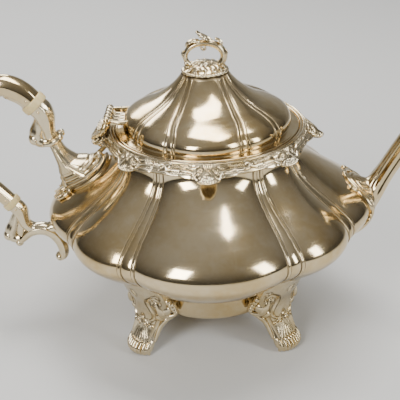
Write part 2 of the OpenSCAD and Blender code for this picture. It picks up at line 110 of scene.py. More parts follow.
def blurred(h, rows, cols, wrap_rows, wrap_cols):
    """Box blur of a field, with or without wrapping at its edges."""
    for axis, k, wrap in ((0, rows, wrap_rows), (1, cols, wrap_cols)):
        pad = [(0, 0), (0, 0)]
        pad[axis] = (k + 1, k)
        q = np.cumsum(np.pad(h, pad, mode="wrap" if wrap else "edge"), axis=axis)
        here = np.arange(h.shape[axis])
        h = (np.take(q, here + 2 * k + 1, axis=axis) - np.take(q, here, axis=axis)) / (2 * k + 1)
    return h


def grid_normals(p, wrap_rows, wrap_cols):
    """Unit normals of a grid of points, (row direction) x (column direction)."""
    def slope(axis, wrap):
        return np.roll(p, -1, axis) - np.roll(p, 1, axis) if wrap else np.gradient(p, axis=axis)
    return unit(np.cross(slope(0, wrap_rows), slope(1, wrap_cols)))


class Piece:
    """Gathers grids of points into one mesh."""

    def __init__(self):
        self.verts, self.faces, self.cavity, self.count = [], [], [], 0

    def grid(self, p, height=None, cavity=0.0, wrap_rows=False, wrap_cols=True, caps=(),
             reach=(3, 3), depth=0.35, out=1):
        """A skin over a grid of points. height moves it along its normals, and then its recesses
        are noted as cavities. caps closes the first row (0) or the last (1) with a fan."""
        p = np.asarray(p, float)
        rows, cols = p.shape[:2]
        cavity = np.broadcast_to(cavity, (rows, cols))
        if height is not None:
            p = p + grid_normals(p, wrap_rows, wrap_cols) * out * height[:, :, None]
            cavity = np.clip((blurred(height, *reach, wrap_rows, wrap_cols) - height) / depth, 0, 1)
        r = np.arange(rows if wrap_rows else rows - 1)[:, None]
        c = np.arange(cols if wrap_cols else cols - 1)[None, :]
        down, across = (r + 1) % rows, (c + 1) % cols
        corners = [r * cols + c, down * cols + c, down * cols + across, r * cols + across]
        if out < 0:
            corners = [corners[k] for k in (0, 3, 2, 1)]
        faces = np.stack([k.ravel() for k in corners], axis=1).tolist()
        verts, cavity = p.reshape(-1, 3), cavity.ravel()
        for end in caps:
            ring = end * (rows - 1) * cols + np.arange(cols)
            turned_ring = np.roll(ring, -1)
            if (end == 0) == (out > 0):
                ring, turned_ring = turned_ring, ring
            faces += [(len(verts), int(one), int(two)) for one, two in zip(ring, turned_ring)]
            verts = np.concatenate([verts, verts[ring].mean(axis=0)[None, :]])
            cavity = np.append(cavity, 0)
        self.verts.append(verts)
        self.cavity.append(cavity)
        self.faces += [tuple(i + self.count for i in face) for face in faces]
        self.count += len(verts)

    def tube(self, path, radius, n=12):
        """A round bar along a path in space, with rounded ends."""
        path = np.asarray(path, float)
        radius = spread(radius, len(path))
        go = unit(np.gradient(path, axis=0))
        side = np.cross(go[0], (0, 0, 1))
        if np.linalg.norm(side) < 1e-3:
            side = np.cross(go[0], (1, 0, 0))
        sides = [unit(side)]
        for g in go[1:]:
            sides.append(unit(sides[-1] - g * np.dot(sides[-1], g)))
        sides = np.array(sides)
        tops = np.cross(sides, go)
        last = len(path) - 1
        near, far = [[(path[k] + go[k] * sign * radius[k] * math.sin(a), radius[k] * math.cos(a), k)
                      for a in np.radians([25, 50, 72, 86])] for k, sign in ((0, -1), (last, 1))]
        rows = near[::-1] + [(path[k], radius[k], k) for k in range(last + 1)] + far
        phi = phases(n)[:, None]
        self.grid([q + r * (sides[k] * np.cos(phi) + tops[k] * np.sin(phi)) for q, r, k in rows],
                  caps=(0, 1), out=-1)

    def rod(self, points, radius, n=14, steps=8, stops=None):
        """A tube along the smooth curve through the points, with its radii spread along it."""
        path = curve(points, steps)
        self.tube(path, spread(radius, len(path), stops), n)

    def ball(self, at, radius, n=12, squash=(1, 1, 1)):
        a = np.linspace(-math.pi / 2, math.pi / 2, n // 2 + 3)[1:-1, None]
        p = round_points(np.cos(a), phases(n)[None, :], np.sin(a)) * squash * radius
        self.grid(p + np.asarray(at), caps=(0, 1), out=-1)

    def lathe(self, outline, n=180, closed=False, at=(0, 0, 0), height=None, **more):
        """The outline of [radius, height] turned round the vertical."""
        q = np.asarray(outline, float)
        p = round_points(q[:, :1], phases(n), q[:, 1:2]) + np.asarray(at)
        self.grid(p, height, wrap_rows=closed, out=-1, **more)

    def build(self, name, body, slot, node, turn=None):
        """Makes the object, which rides on a body and takes the place of a CAD node."""
        v = np.concatenate(self.verts)
        if turn is not None:
            v = v @ np.array(turn.to_3x3()).T + np.array(turn.translation)
        data = bpy.data.meshes.new(name)
        data.from_pydata((v * MM).tolist(), [], self.faces)
        data.validate()
        data.polygons.foreach_set("use_smooth", [True] * len(data.polygons))
        mark = data.attributes.new("cavity", "FLOAT", "POINT")
        mark.data.foreach_set("value", np.concatenate(self.cavity).astype(np.float32))
        data.materials.append(LOOKS[slot])
        thing = bpy.data.objects.new(name, data)
        bpy.context.scene.collection.objects.link(thing)
        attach(thing, body)
        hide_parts(node)


# ---- relief ------------------------------------------------------------------------------

def stroke(h, u, v, points, width, height, vein=0.0):
    """Raises field h along a line drawn over u and v. vein cuts a groove along its middle."""
    p = np.asarray(points, float)
    w = spread(width, len(p))
    for (ax, ay), (bx, by), wa, wb in zip(p[:-1], p[1:], w[:-1], w[1:]):
        far = max(wa, wb)
        near = ((u > min(ax, bx) - far) & (u < max(ax, bx) + far)
                & (v > min(ay, by) - far) & (v < max(ay, by) + far))
        if not near.any():
            continue
        x, y = u[near] - ax, v[near] - ay
        length = max((bx - ax) ** 2 + (by - ay) ** 2, 1e-9)
        t = np.clip((x * (bx - ax) + y * (by - ay)) / length, 0, 1)
        off = np.hypot(x - t * (bx - ax), y - t * (by - ay))
        local = np.maximum(wa + (wb - wa) * t, 1e-6)
        size = height * np.clip(local / max(w.max(), 1e-6), 0.25, 1)
        new = hump(off, local) * size
        if vein:
            new = new - vein * size * bell(off, 0, 0.18 * local) * (new > 0)
        h[near] = np.maximum(h[near], new)


def dot(h, u, v, at, radius, height):
    """Raises one bead of field h."""
    stroke(h, u, v, [at, [at[0] + 0.01, at[1]]], radius, height)


def volute(cx, cy, radius, start, turns, shrink=0.25, n=26):
    """Points of a spiral that winds in to its centre. start and turns are in degrees."""
    a = np.radians(start + np.linspace(0, turns, n))
    r = radius * np.linspace(1, shrink, n)
    return np.stack([cx + r * np.cos(a), cy + r * np.sin(a)], axis=1)


def fan(h, u, v, foot, tips, width, height, vein=0.0):
    """Ribs of a shell that spread from one foot to the tips."""
    way = np.linspace(0, 1, 6)[:, None]
    for tip in tips:
        line = np.array(foot) + (np.array(tip) - np.array(foot)) * way
        stroke(h, u, v, line, width * (0.25 + 0.75 * way[:, 0] ** 0.8), height, vein)


# ---- looks -------------------------------------------------------------------------------

def nodes_of(name):
    look = bpy.data.materials.new(name)
    look.use_nodes = True
    tree = look.node_tree
    tree.nodes.clear()
    out = tree.nodes.new("ShaderNodeOutputMaterial")
    shader = tree.nodes.new("ShaderNodeBsdfPrincipled")
    tree.links.new(shader.outputs[0], out.inputs[0])
    place = tree.nodes.new("ShaderNodeTexCoord").outputs["Object"]
    return look, tree, shader, place


def plug(tree, socket, value):
    """Sets a socket to a number or a colour, or links it to another socket."""
    if isinstance(value, (int, float)):
        socket.default_value = value
    elif isinstance(value, tuple):
        socket.default_value = (*value, 1)
    else:
        tree.links.new(value, socket)


def noise(tree, place, scale, detail=4, rough=0.55, stretch=(1, 1, 1)):
    fit = tree.nodes.new("ShaderNodeMapping")
    fit.inputs["Scale"].default_value = stretch
    tree.links.new(place, fit.inputs[0])
    n = tree.nodes.new("ShaderNodeTexNoise")
    for socket, value in (("Scale", scale), ("Detail", detail), ("Roughness", rough)):
        n.inputs[socket].default_value = value
    tree.links.new(fit.outputs[0], n.inputs[0])
    return n.outputs["Fac"]


def ranged(tree, value, low, high, to_low, to_high):
    m = tree.nodes.new("ShaderNodeMapRange")
    for k, number in enumerate((value, low, high, to_low, to_high)):
        plug(tree, m.inputs[k], number)
    return m.outputs[0]


def mixed(tree, share, one, two):
    m = tree.nodes.new("ShaderNodeMix")
    m.data_type = "RGBA"
    for k, value in ((0, share), (6, one), (7, two)):
        plug(tree, m.inputs[k], value)
    return m.outputs[2]


def joined(tree, a, b, kind="ADD"):
    m = tree.nodes.new("ShaderNodeMath")
    m.operation = kind
    plug(tree, m.inputs[0], a)
    plug(tree, m.inputs[1], b)
    return m.outputs[0]


def bumped(tree, shader, height, strength):
    bump = tree.nodes.new("ShaderNodeBump")
    bump.inputs["Strength"].default_value = strength
    bump.inputs["Distance"].default_value = 0.2 * MM
    tree.links.new(height, bump.inputs["Height"])
    tree.links.new(bump.outputs[0], shader.inputs["Normal"])


def silver_look(name, bright, tarnish, worn, oxide, rough, scratch):
    """Silver plate: a warm patchy tarnish, hairline polishing marks, and dark oxide in the recesses."""
    look, tree, shader, place = nodes_of(name)
    clouds = noise(tree, place, 22, 5, 0.6)
    fine = noise(tree, place, 160, 4, 0.6)
    base = mixed(tree, ranged(tree, clouds, 0.36, 0.66, 0, 1), bright, tarnish)
    base = mixed(tree, ranged(tree, fine, 0.45, 0.75, 0, 0.4), base, worn)
    mark = tree.nodes.new("ShaderNodeAttribute")
    mark.attribute_name = "cavity"
    dirt = joined(tree, mark.outputs["Fac"], ranged(tree, fine, 0.3, 0.7, 0.55, 1.1), "MULTIPLY")
    base = mixed(tree, ranged(tree, dirt, 0.1, 0.9, 0, 0.93), base, oxide)
    tree.links.new(base, shader.inputs["Base Color"])
    shader.inputs["Metallic"].default_value = 1
    hair = noise(tree, place, 60, 3, 0.7, (1, 1, 46))
    marks = ranged(tree, hair, 0.35, 0.7, rough * 0.75, rough * 1.5)
    haze = ranged(tree, clouds, 0.35, 0.7, 0, rough * 0.9)
    dull = ranged(tree, dirt, 0.1, 0.9, 0, 0.45)
    tree.links.new(joined(tree, joined(tree, marks, haze), dull), shader.inputs["Roughness"])
    bumped(tree, shader, joined(tree, hair, joined(tree, fine, 0.5, "MULTIPLY")), scratch)
    return look


def bone_look(bright, dark, spot):
    look, tree, shader, place = nodes_of("bone")
    grain = noise(tree, place, 90, 5, 0.65, (1, 6, 1))
    spots = noise(tree, place, 240, 3, 0.5)
    base = mixed(tree, ranged(tree, grain, 0.35, 0.7, 0, 1), bright, dark)
    base = mixed(tree, ranged(tree, spots, 0.6, 0.8, 0, 0.5), base, spot)
    tree.links.new(base, shader.inputs["Base Color"])
    tree.links.new(ranged(tree, grain, 0.3, 0.7, 0.32, 0.5), shader.inputs["Roughness"])
    shader.inputs["Subsurface Weight"].default_value = 0.15
    shader.inputs["Subsurface Scale"].default_value = 3 * MM
    bumped(tree, shader, grain, 0.25)
    return look


LOOKS = {
    "silver_plate": silver_look(
        "silver_plate", bright=(0.73, 0.605, 0.39), tarnish=(0.585, 0.43, 0.205),
        worn=(0.79, 0.695, 0.51), oxide=(0.055, 0.036, 0.018), rough=0.09, scratch=0.02),
    "cast_silver_plate": silver_look(
        "cast_silver_plate", bright=(0.75, 0.65, 0.46), tarnish=(0.58, 0.45, 0.235),
        worn=(0.85, 0.78, 0.63), oxide=(0.045, 0.032, 0.018), rough=0.13, scratch=0.05),
    "bone": bone_look(bright=(0.73, 0.61, 0.32), dark=(0.62, 0.48, 0.21), spot=(0.44, 0.31, 0.13)),
}

# ---- the lobed bowl ----------------------------------------------------------------------

WALL = 1.5
GIRTH_R, GIRTH_Z = 97.4, 82
NECK_R, NECK_Z = 59, 131
LOBE = 9.5
PAN_R, PAN_Z = 52, 43.5
RIBS = (28, 60)
BOWL = smooth_line([[52.2, PAN_Z], [62, 50.8], [73.5, 59], [84.5, 67.2], [93.4, 74.6],
                    [GIRTH_R, GIRTH_Z], [95, 88.4], [87.6, 95.2], [77.6, 102.2], [67.6, 109.6],
                    [61, 116.8], [58.2, 124], [NECK_R, NECK_Z]], 260, 4)
# Share of the lobes' depth by height: the ones at the spout and the handle, then all the others
END_LOBES = smooth_line([[PAN_Z, 0.7], [60, 0.9], [75, 0.95], [86, 1], [98, 1.02], [110, 0.82],
                         [124, 0.18], [NECK_Z, 0]], 200, 5)
FULL_LOBES = smooth_line([[PAN_Z, 0.9], [52, 1.12], [60, 1.26], [68, 1.26], [76, 1.08], [84, 0.96],
                          [91, 1.1], [98, 1.3], [105, 1.4], [112, 1.22], [118, 0.84], [124, 0.4],
                          [128, 0.12], [NECK_Z, 0]], 200, 4)
# Width of the straps along the ribs, by height
BOWL_STRAP = np.array([[PAN_Z, 4.6], [52, 5.6], [62, 7.4], [74, 9.0], [84, 9.2], [92, 8.0],
                       [104, 6.2], [116, 4.9], [NECK_Z, 4.2]])


def folded(a):
    """The angle from the handle-to-spout line, 0 to 90 degrees."""
    b = np.mod(a, 180)
    return np.where(b > 90, 180 - b, b)


def arch(a, a1, a2):
    """A round-topped rise between two angles: 0 at both, 1 halfway."""
    return 1 - np.abs((2 * a - a1 - a2) / (a2 - a1)) ** 2.3


def swell(a, ribs):
    """Share of a lobe's depth at angle a: 0 on the ribs."""
    c = folded(a)
    r1, r2 = ribs
    return np.where(c < r1, arch(c, -r1, r1),
                    np.where(c < r2, 0.64 * arch(c, r1, r2), 0.98 * arch(c, r2, 180 - r2)))


def rib_angles(ribs):
    return [r + turn for turn in (0, 180) for r in (ribs[0], ribs[1], 180 - ribs[1], 180 - ribs[0])]


def columns(ribs, near, fine, coarse):
    """Polar angles round the pot, closer together near the ribs."""
    stops = sorted(rib_angles(ribs))
    out = []
    for here, after in zip(stops, stops[1:] + [stops[0] + 360]):
        out.append(np.arange(here - near, here + near, fine))
        gap = after - here - 2 * near
        out.append(here + near + gap * np.arange(int(gap / coarse)) / int(gap / coarse))
    return np.concatenate(out)


def bulge(a, z):
    """How far the bowl stands out beyond its ribs at polar angle a and height z."""
    share = np.where(folded(a) < RIBS[0], np.interp(z, *END_LOBES.T), np.interp(z, *FULL_LOBES.T))
    return LOBE * share * swell(a, RIBS)


def lobed(line, out, ribs, widths, a, bead, fill, fade=1.0):
    """Radii and cavities of a lobed body with a beaded strap along each rib. line is rows of
    [radius, height], and bead is half the width of a bead and its height."""
    r0, z = line[:, :1], line[:, 1:]
    half = np.interp(z, *widths.T) / 2
    r = r0 + out(a, z)
    height = np.zeros_like(r)
    cavity = np.zeros_like(r)
    for rib in rib_angles(ribs):
        x = np.radians(turned(a, rib)) * r0
        turn = np.degrees(half / r0)
        left, right = r0 + out(rib - turn, z), r0 + out(rib + turn, z)
        inside = np.abs(x) < half
        t = np.clip((x / half + 1) / 2, 0, 1)
        r = np.where(inside, left + (right - left) * t - 0.25, r)
        height += np.where(inside, fill * (1 - (x / half) ** 2) * np.clip(half / 2, 0, 1), 0)
        for side in SIDES:
            gap = np.abs(x - side * half)
            height += bead[1] * hump(gap, bead[0])
            cavity = np.maximum(cavity, bell(gap, bead[0] + 0.1, 0.38))
    return r + height * fade, cavity


def turned(a, c):
    """Angle a seen from angle c, -180 to 180 degrees."""
    return (a - c + 180) % 360 - 180


def bowl_x(y, z):
    """Distance of the bowl's sheet from the middle, along the handle-to-spout line."""
    x = np.full(np.broadcast(y, z).shape, 90.0)
    for _ in range(8):
        reach = np.interp(z, BOWL[:, 1], BOWL[:, 0]) + bulge(np.degrees(np.arctan2(y, x)), z)
        x = np.sqrt(np.maximum(reach ** 2 - y * y, 1))
    return x


def make_bowl():
    piece = Piece()
    a = columns(RIBS, 5.6, 0.12, 0.9)
    z = BOWL[:, 1:]
    r, cavity = lobed(BOWL, bulge, RIBS, BOWL_STRAP, a, (1.1, 1.0), 0.9)
    seams = 0.6 * bell(z, PAN_Z, 1.6) + 0.48 * bell(z, NECK_Z, 1.5)
    piece.grid(round_points(r, np.radians(a), z), cavity=np.maximum(cavity, seams), out=-1)
    line, b = BOWL[::6], a[::3]
    go = unit(np.gradient(line, axis=0))
    inner = line + WALL * np.stack([-go[:, 1], go[:, 0]], axis=1)
    piece.grid(round_points(inner[:, :1] + bulge(b, line[:, 1:]), np.radians(b), inner[:, 1:]))
    piece.lathe([[PAN_R - 0.2, PAN_Z], [BOWL[0, 0] + 1, PAN_Z]], n=240)
    piece.build("bowl_sheet", "pot", "silver_plate", "bowl")


def make_pan():
    piece = Piece()
    rows = smooth_line([[51.9, PAN_Z + 0.8], [51.7, 38], [51.2, 31], [50.6, 26.2], [48.6, 22.8],
                        [45, 21.7], [38, 21.5]], 90, 3)[::-1]
    piece.lathe([rows[0] * [0, 1], *rows], n=240)
    piece.lathe([[50.4, PAN_Z], [49.9, 30], [48.6, 25], [45, 23.1], [0.01, 23]], n=120)
    piece.lathe([[51.7 + 0.55 * math.cos(t), PAN_Z - 0.3 + 0.55 * math.sin(t)]
                 for t in np.linspace(-1.6, 1.6, 9)], n=240)
    piece.build("base_pan_sheet", "pot", "silver_plate", "base_pan")


def make_bezel():
    piece = Piece()
    seat, throat, wall, outside = 138.3, 54.8, 59.1, 60.8
    piece.lathe([[throat, 127], [56.3, 127], [56.3, NECK_Z + 0.3], [outside, NECK_Z + 0.3],
                 [outside, seat + 1.2], [outside - 0.3, seat + 1.5], [wall + 0.3, seat + 1.5],
                 [wall, seat + 1.2], [wall, seat + 0.2], [wall - 0.3, seat], [throat + 0.3, seat],
                 [throat, seat - 0.3]], n=240, closed=True)
    piece.build("rim_bezel_ring", "pot", "silver_plate", "rim_bezel")


# ---- the cast border ---------------------------------------------------------------------

BORDER_R, BORDER_IN = 65.2, 60.85
BORDER_TOP, BORDER_LIP = 140.2, 133.2
# Angle, half width in degrees and reach of each leaf tip
TIPS = [(c + turn, w, size) for turn in (0, 180)
        for c, w, size in ((0, 16, 9.5), (43, 16, 5.2), (90, 15, 6.2), (137, 16, 5.2))]


def border_reach(a):
    """How far out the wavy edge of the border stands."""
    out = np.full_like(a, BORDER_R)
    for c, w, size in TIPS:
        off = turned(a, c)
        k = np.clip(np.abs(off) / w, 0, 1)
        out += size * (0.55 * np.cos(k * math.pi / 2) ** 2 + 0.45 * hump(k, 0.42, 0.6))
        for s in SIDES:
            out += 0.9 * hump(off - s * w * 0.78, 3.6, 0.6)
    return out


def border_relief(u, v, width, tall, gap):
    """Relief of one leaf tip and what runs from it to halfway to the next tip, over
    millimetres along (u) and down (v)."""
    h = np.zeros_like(u)
    stroke(h, u, v, [[-40, 0.5], [40, 0.5]], 0.5, 0.6)
    middle, far = tall * 0.36, gap - 2.4
    tips = [(s * width * k, tall * (0.96 - 0.42 * k * k)) for k in (0, 0.17, 0.34, 0.5) for s in SIDES]
    fan(h, u, v, (0, middle), tips, 0.85, 1.1, vein=0.25)
    dot(h, u, v, (0, middle), 1.25, 1.5)
    for x in np.linspace(-2.5, 2.5, 5):
        stroke(h, u, v, [[x * 0.5, middle - 0.6], [x, 1.5]], [0.3, 0.62], 0.8)
    for s in SIDES:
        stroke(h, u, v, volute(s * width * 0.5, middle + 0.2, 1.75, 90, -s * 430, 0.2), [0.55, 0.75], 1.2)
        # the long scroll from one tip to the next, and the leaf inside it
        scroll = curve([[width * 0.52, tall * 0.66], [width * 0.74, tall * 0.74], [width, 7.0],
                        [width + 3.2, 5.4], [far - 3.5, 5.2], [far - 0.8, 5.4], [far + 1.2, 4.4],
                        [far + 1.2, 3.0], [far - 0.3, 2.3], [far - 1.4, 3.2], [far - 0.6, 3.9]], 8)
        stroke(h, u, v, scroll * [s, 1], spread([0.6, 1.15, 1.2, 0.6], len(scroll), [0, 0.3, 0.7, 1]), 1.35)
        leaf = curve([[width * 0.62, 2.0], [width * 0.86, 3.2], [width + 1.2, 3.4], [width + 3.6, 2.3],
                      [width + 5.4, 2.0]], 8)
        stroke(h, u, v, leaf * [s, 1], [0.5, 1.1, 0.5], 1.0, vein=0.35)
        # reeds above and below it
        for x in np.arange(width * 0.9, far - 2.6, 1.18):
            if x > width + 3.2:
                reed = curve([[x, 1.35], [x + 0.2, 2.4], [x + 1.1, 3.3], [x + 1.3, 4.3]], 3)
                stroke(h, u, v, reed * [s, 1], 0.5, 0.95)
            reed = curve([[x - 0.3, 5.9], [x + 0.5, 6.7], [x + 1.5, 6.9]], 3)
            stroke(h, u, v, reed * [s, 1], [0.6, 0.6, 0.55, 0.5, 0.45, 0.4, 0.4], 0.9)
        for k in range(5):
            x, y = width * (0.56 + 0.12 * k), tall * 0.5 - 0.35 * k
            stroke(h, u, v, [[s * x, y], [s * (x + 0.9), y + 0.7]], 0.55, 0.8)
    return h


def make_border():
    rows, n = 66, 3000
    a = 360 * np.arange(n) / n
    t = np.radians(a)
    edge = border_reach(a)
    lip = BORDER_LIP - np.minimum(3.0, 0.36 * (edge - BORDER_R))
    k = np.linspace(0, 1, rows)[:, None]
    start = BORDER_IN + 1
    r, z = start + (edge - start) * k, BORDER_TOP - (BORDER_TOP - lip) * k ** 1.55
    steps = np.hypot(np.diff(r, axis=0), np.diff(z, axis=0))
    down = np.concatenate([np.zeros((1, n)), np.cumsum(steps, axis=0)])
    total = down[-1]
    h = np.zeros((rows, n))
    arc = math.radians(1) * 63.5
    for c, w, _ in TIPS:
        off = turned(a, c)
        gap = 22 if c in (0, 180) else 24    # degrees to halfway to the next tips
        near = np.abs(off) < gap
        u = np.broadcast_to(off[near] * arc, (rows, near.sum()))
        tall = total[np.argmin(np.abs(off))]
        relief = border_relief(u, down[:, near], w * arc * 0.5, tall, gap * arc)
        h[:, near] = np.maximum(h[:, near], relief)
    h *= np.clip((total - down) / 0.9, 0, 1) ** 0.5 * np.clip(down / 0.3, 0, 1)
    skin = round_points(r, t, z)
    cushion = 0.45 * np.sin(math.pi * down / total)
    skin = skin - grid_normals(skin, False, True) * (0.95 * h + cushion)[:, :, None]
    recesses = np.clip((blurred(h, 4, 9, False, True) - h) / 0.26, 0, 1)
    piece = Piece()
    piece.grid(skin, cavity=recesses, out=-1)
    back = ((edge - 0.1, lip - 0.5), (edge - 0.7, lip - 1), (edge - 1.5, lip - 0.9),
            (np.minimum(edge - 2.4, BORDER_IN + 2.4), lip + 0.6), (BORDER_IN - 0.9, 132.4),
            (BORDER_IN, 137), (BORDER_IN, BORDER_TOP - 0.6), (BORDER_IN + 0.3, BORDER_TOP - 0.1))
    piece.grid([skin[-1], *[round_points(r, t, z) for r, z in back], skin[0]], out=-1)
    piece.build("rim_border_cast", "pot", "cast_silver_plate", "rim_border")


# ---- the lid -----------------------------------------------------------------------------

LID_RIBS = (32, 64)
CROWN = 174.5
FOOT_Z = 140.4
DOME = smooth_line([[50.6, FOOT_Z], [50.4, 143], [49.4, 146.2], [46.2, 150.2], [39.8, 154.0],
                    [32.2, 157.4], [25.6, 161.4], [20, 166.2], [16, 171], [13.9, CROWN]], 240, 3)
LID_STRAP = np.array([[FOOT_Z, 5.4], [147, 4.8], [153, 4.0], [160, 3.4], [168, 3.0], [CROWN, 2.8]])


def lid_bulge(a, z):
    """How far the lid stands out beyond its ribs at polar angle a and height z."""
    k = np.clip((z - FOOT_Z) / (CROWN - FOOT_Z), 0, 1)
    return (2.1 + 1.7 * np.sin(math.pi * k ** 0.6) - 1.5 * k) * swell(a, LID_RIBS)


def leaned(a, z):
    """Polar angles of the lid's columns at each height: the inner ribs lean apart near the crown."""
    c = folded(a)
    outer, inner = LID_RIBS
    there = np.interp(z, [150, 160, 168, CROWN], [inner, 56, 50, 45])
    between = outer + (c - outer) * (there - outer) / (inner - outer)
    beyond = there + (c - inner) * (90 - there) / (90 - inner)
    w = np.where(c < outer, c, np.where(c < inner, between, beyond))
    b = np.mod(a, 180)
    return np.where(b > 90, 180 - w, w) + a - b


def lid_grid(r, z, a):
    """Points of the lid: a little longer from front to back than from side to side, low down."""
    p = round_points(r, np.radians(leaned(a, z)), z)
    p[:, :, 1] *= 1 + 0.045 * np.clip((157 - z) / 10, 0, 1)
    return p


def make_lid():
    piece = Piece()
    a = columns(LID_RIBS, 9, 0.25, 0.9)
    z = DOME[:, 1:]
    fade = np.clip((z - FOOT_Z) / 1.2, 0, 1) ** 0.5
    r, cavity = lobed(DOME, lid_bulge, LID_RIBS, LID_STRAP, a, (0.85, 0.72), 0.3, fade)
    seams = bell(z, CROWN, 1.2) + 0.8 * bell(z, FOOT_Z, 0.6)
    piece.grid(lid_grid(r, z, a), cavity=np.maximum(cavity, seams), out=-1)
    foot = lid_grid(r[:1], z[:1], a)[0]
    t = np.arctan2(foot[:, 1], foot[:, 0])
    flange = [round_points(reach, t, up) for reach, up in ((58.3, 138.75), (58.45, 139.2), (58.3, 139.6),
                                                           (57.8, 139.75), (57.2, 139.6), (56.6, 139.6))]
    fillet = [foot * [wide, wide, 1] - [0, 0, drop] for wide, drop in ((1.012, 0.45), (1.004, 0.3), (1, 0))]
    piece.grid(flange + fillet, out=-1)
    under = CROWN - WALL
    piece.lathe([[14.0, CROWN], [2.6, CROWN], [2.6, under], [13, under]], n=120)
    inner, b = DOME[::8] - [WALL, 0], a[::4]
    inner[-1, 1] = under
    piece.grid(lid_grid(inner[:, :1] + lid_bulge(b, z[::8]), inner[:, 1:], b))
    piece.lathe([[48.6, FOOT_Z], [49, 138.62], [58, 138.62], [58.3, 138.75]], n=240)
    piece.build("lid_dome_sheet", "lid", "silver_plate", "lid_dome")


def make_lid_bezel():
    piece = Piece()
    r, low, top = 53.2, 133.6, 138.6
    piece.lathe([[r - 1.3, top], [r - 1.3, low + 0.3], [r - 1, low], [r - 0.3, low], [r, low + 0.3],
                 [r, top]], n=240, closed=True)
    piece.build("lid_bezel_ring", "lid", "silver_plate", "lid_bezel")

# ---- finial ------------------------------------------------------------------------------

def make_finial_base():
    piece = Piece()
    n, m = 360, 90
    rows = smooth_line([[13.3, 0.05], [14.2, 0.5], [14.5, 1.1], [13.9, 1.8], [12.2, 2.3], [10.6, 3.1],
                        [9.2, 4.1], [7.6, 5.0], [5, 5.6], [0.6, 5.9]], m, 2)
    a, way = phases(n), np.linspace(0, 1, m)[:, None]
    h = (0.75 * np.abs(np.cos(7 * a)) ** 0.6 * bell(way, 0.5, 0.24)
         + 0.35 * np.abs(np.cos(24 * a)) * bell(way, 0.13, 0.05)
         + 0.5 * np.sin(7 * a) ** 2 * bell(way, 0.85, 0.12))
    piece.lathe(rows, n=n, at=(0, 0, CROWN), height=h, reach=(4, 6))
    for at in round_points(14.0, phases(26), CROWN + 1):
        piece.ball(at, 0.95, 10, (1, 1, 0.85))
    for t in phases(7) + math.pi / 7:
        way, side = round_points(1, np.array([t, t + math.pi / 2]), 0)
        for s in SIDES:
            piece.rod([way * r + side * s * w + [0, 0, CROWN + z] for r, w, z in
                       ((12.6, 3.4, 2.0), (11.6, 2.2, 3.5), (10.2, 2.6, 4.4), (10.4, 3.9, 3.8))],
                      [0.75, 0.5], 8, 5)
    piece.lathe([[2.0, 0.5], [2.0, -7.3], [1.7, -7.5], [0.01, -7.5]], n=32, at=(0, 0, CROWN))
    piece.build("finial_base_cast", "lid", "cast_silver_plate", "finial_base")


def leaf_blade(piece, path, width, thick, lobes, face=(0, 1, 0)):
    """A leaf along a path, with scalloped edges and a raised vein. Its widths are spread along it."""
    go = unit(np.gradient(path, axis=0))
    side = unit(np.array(face) - go * (go @ face)[:, None])
    top = np.cross(side, go)[:, None]
    w = spread(width, len(path)) * (1 + 0.18 * np.cos(np.linspace(0, lobes * TAU, len(path))))
    s = np.linspace(-1, 1, 25)
    flat = path[:, None] + w[:, None, None] * s[:, None] * side[:, None]
    droop = -0.32 * w[:, None] * s ** 2
    vein = thick * (0.5 * bell(s, 0, 0.14) + 0.22 * np.cos(9 * s))
    upper = flat + (droop + thick / 2 + vein)[:, :, None] * top
    lower = flat + (droop - thick / 2)[:, :, None] * top
    piece.grid(np.concatenate([upper, lower[:, ::-1]], axis=1), caps=(0, 1), out=-1)


def make_finial_loop():
    piece = Piece()
    a = np.radians(np.linspace(-64, 243, 90))
    ring = np.stack([11.9 * np.cos(a), 0 * a, 184.3 + 8.4 * np.sin(a)], axis=1)
    thick = 1.7 + 0.3 * np.cos(a) + 0.2 * np.sin(a)
    go = unit(np.gradient(ring, axis=0))
    up = np.stack([-go[:, 2], 0 * a, go[:, 0]], axis=1)[:, None]
    phi = phases(20)[:, None]
    around = (1 + 0.12 * np.cos(4 * phi)) * (np.cos(phi) * up + np.sin(phi) * [0, 1, 0])
    piece.grid(ring[:, None] + thick[:, None, None] * around, caps=(0, 1))
    for s in SIDES:
        piece.rod([[s * 11.2, 0, 180.0], [s * 8.6, 0, 177.9], [s * 5.4, 0, 178.6], [s * 4.4, 0, 180.6]],
                  [1.7, 0.9])
        piece.rod([[s * 11.9, 0, 183], [s * 13.6, 0, 185.6], [s * 13.2, 0, 188]], [1.3, 0.5], 10, 6)
    piece.rod([[8.0, 0, 190.0], [5.4, 0, 192.3], [2.4, 0, 193.9], [-0.4, 0, 195.2]], [1.5, 1.1], 12)
    piece.rod([[2.6, 0, 192.8], [-0.4, 0, 193.6], [-2.0, 0, 191.2], [-1.2, 0, 188.6], [0.6, 0, 188.8],
               [0.4, 0, 190.4]], [1.1, 0.7], 10, 6)
    for points, width, thick, lobes in (
            ([[5.0, 0, 193.2], [2.6, 0, 195.4], [-0.2, 0, 197.2], [-2.8, 0, 198.4], [-4.8, 0, 200.0]],
             [0.8, 2.6, 3.0, 2.0, 0.3], 0.9, 3),
            ([[-1.5, 0, 192.3], [-4.4, 0, 194.2], [-7.6, 0, 194.2], [-10.2, 0, 192.6], [-10.8, 0, 190.4]],
             [0.8, 2.2, 2.4, 1.7, 0.4], 0.9, 3),
            ([[9.2, 0, 189.4], [10.6, 0, 192.0], [9.0, 0, 194.2], [6.6, 0, 195.2]],
             [0.6, 1.7, 1.6, 0.3], 0.8, 2)):
        leaf_blade(piece, curve(points, 8), width, thick, lobes)
    piece.build("finial_loop_cast", "lid", "cast_silver_plate", "finial_loop")


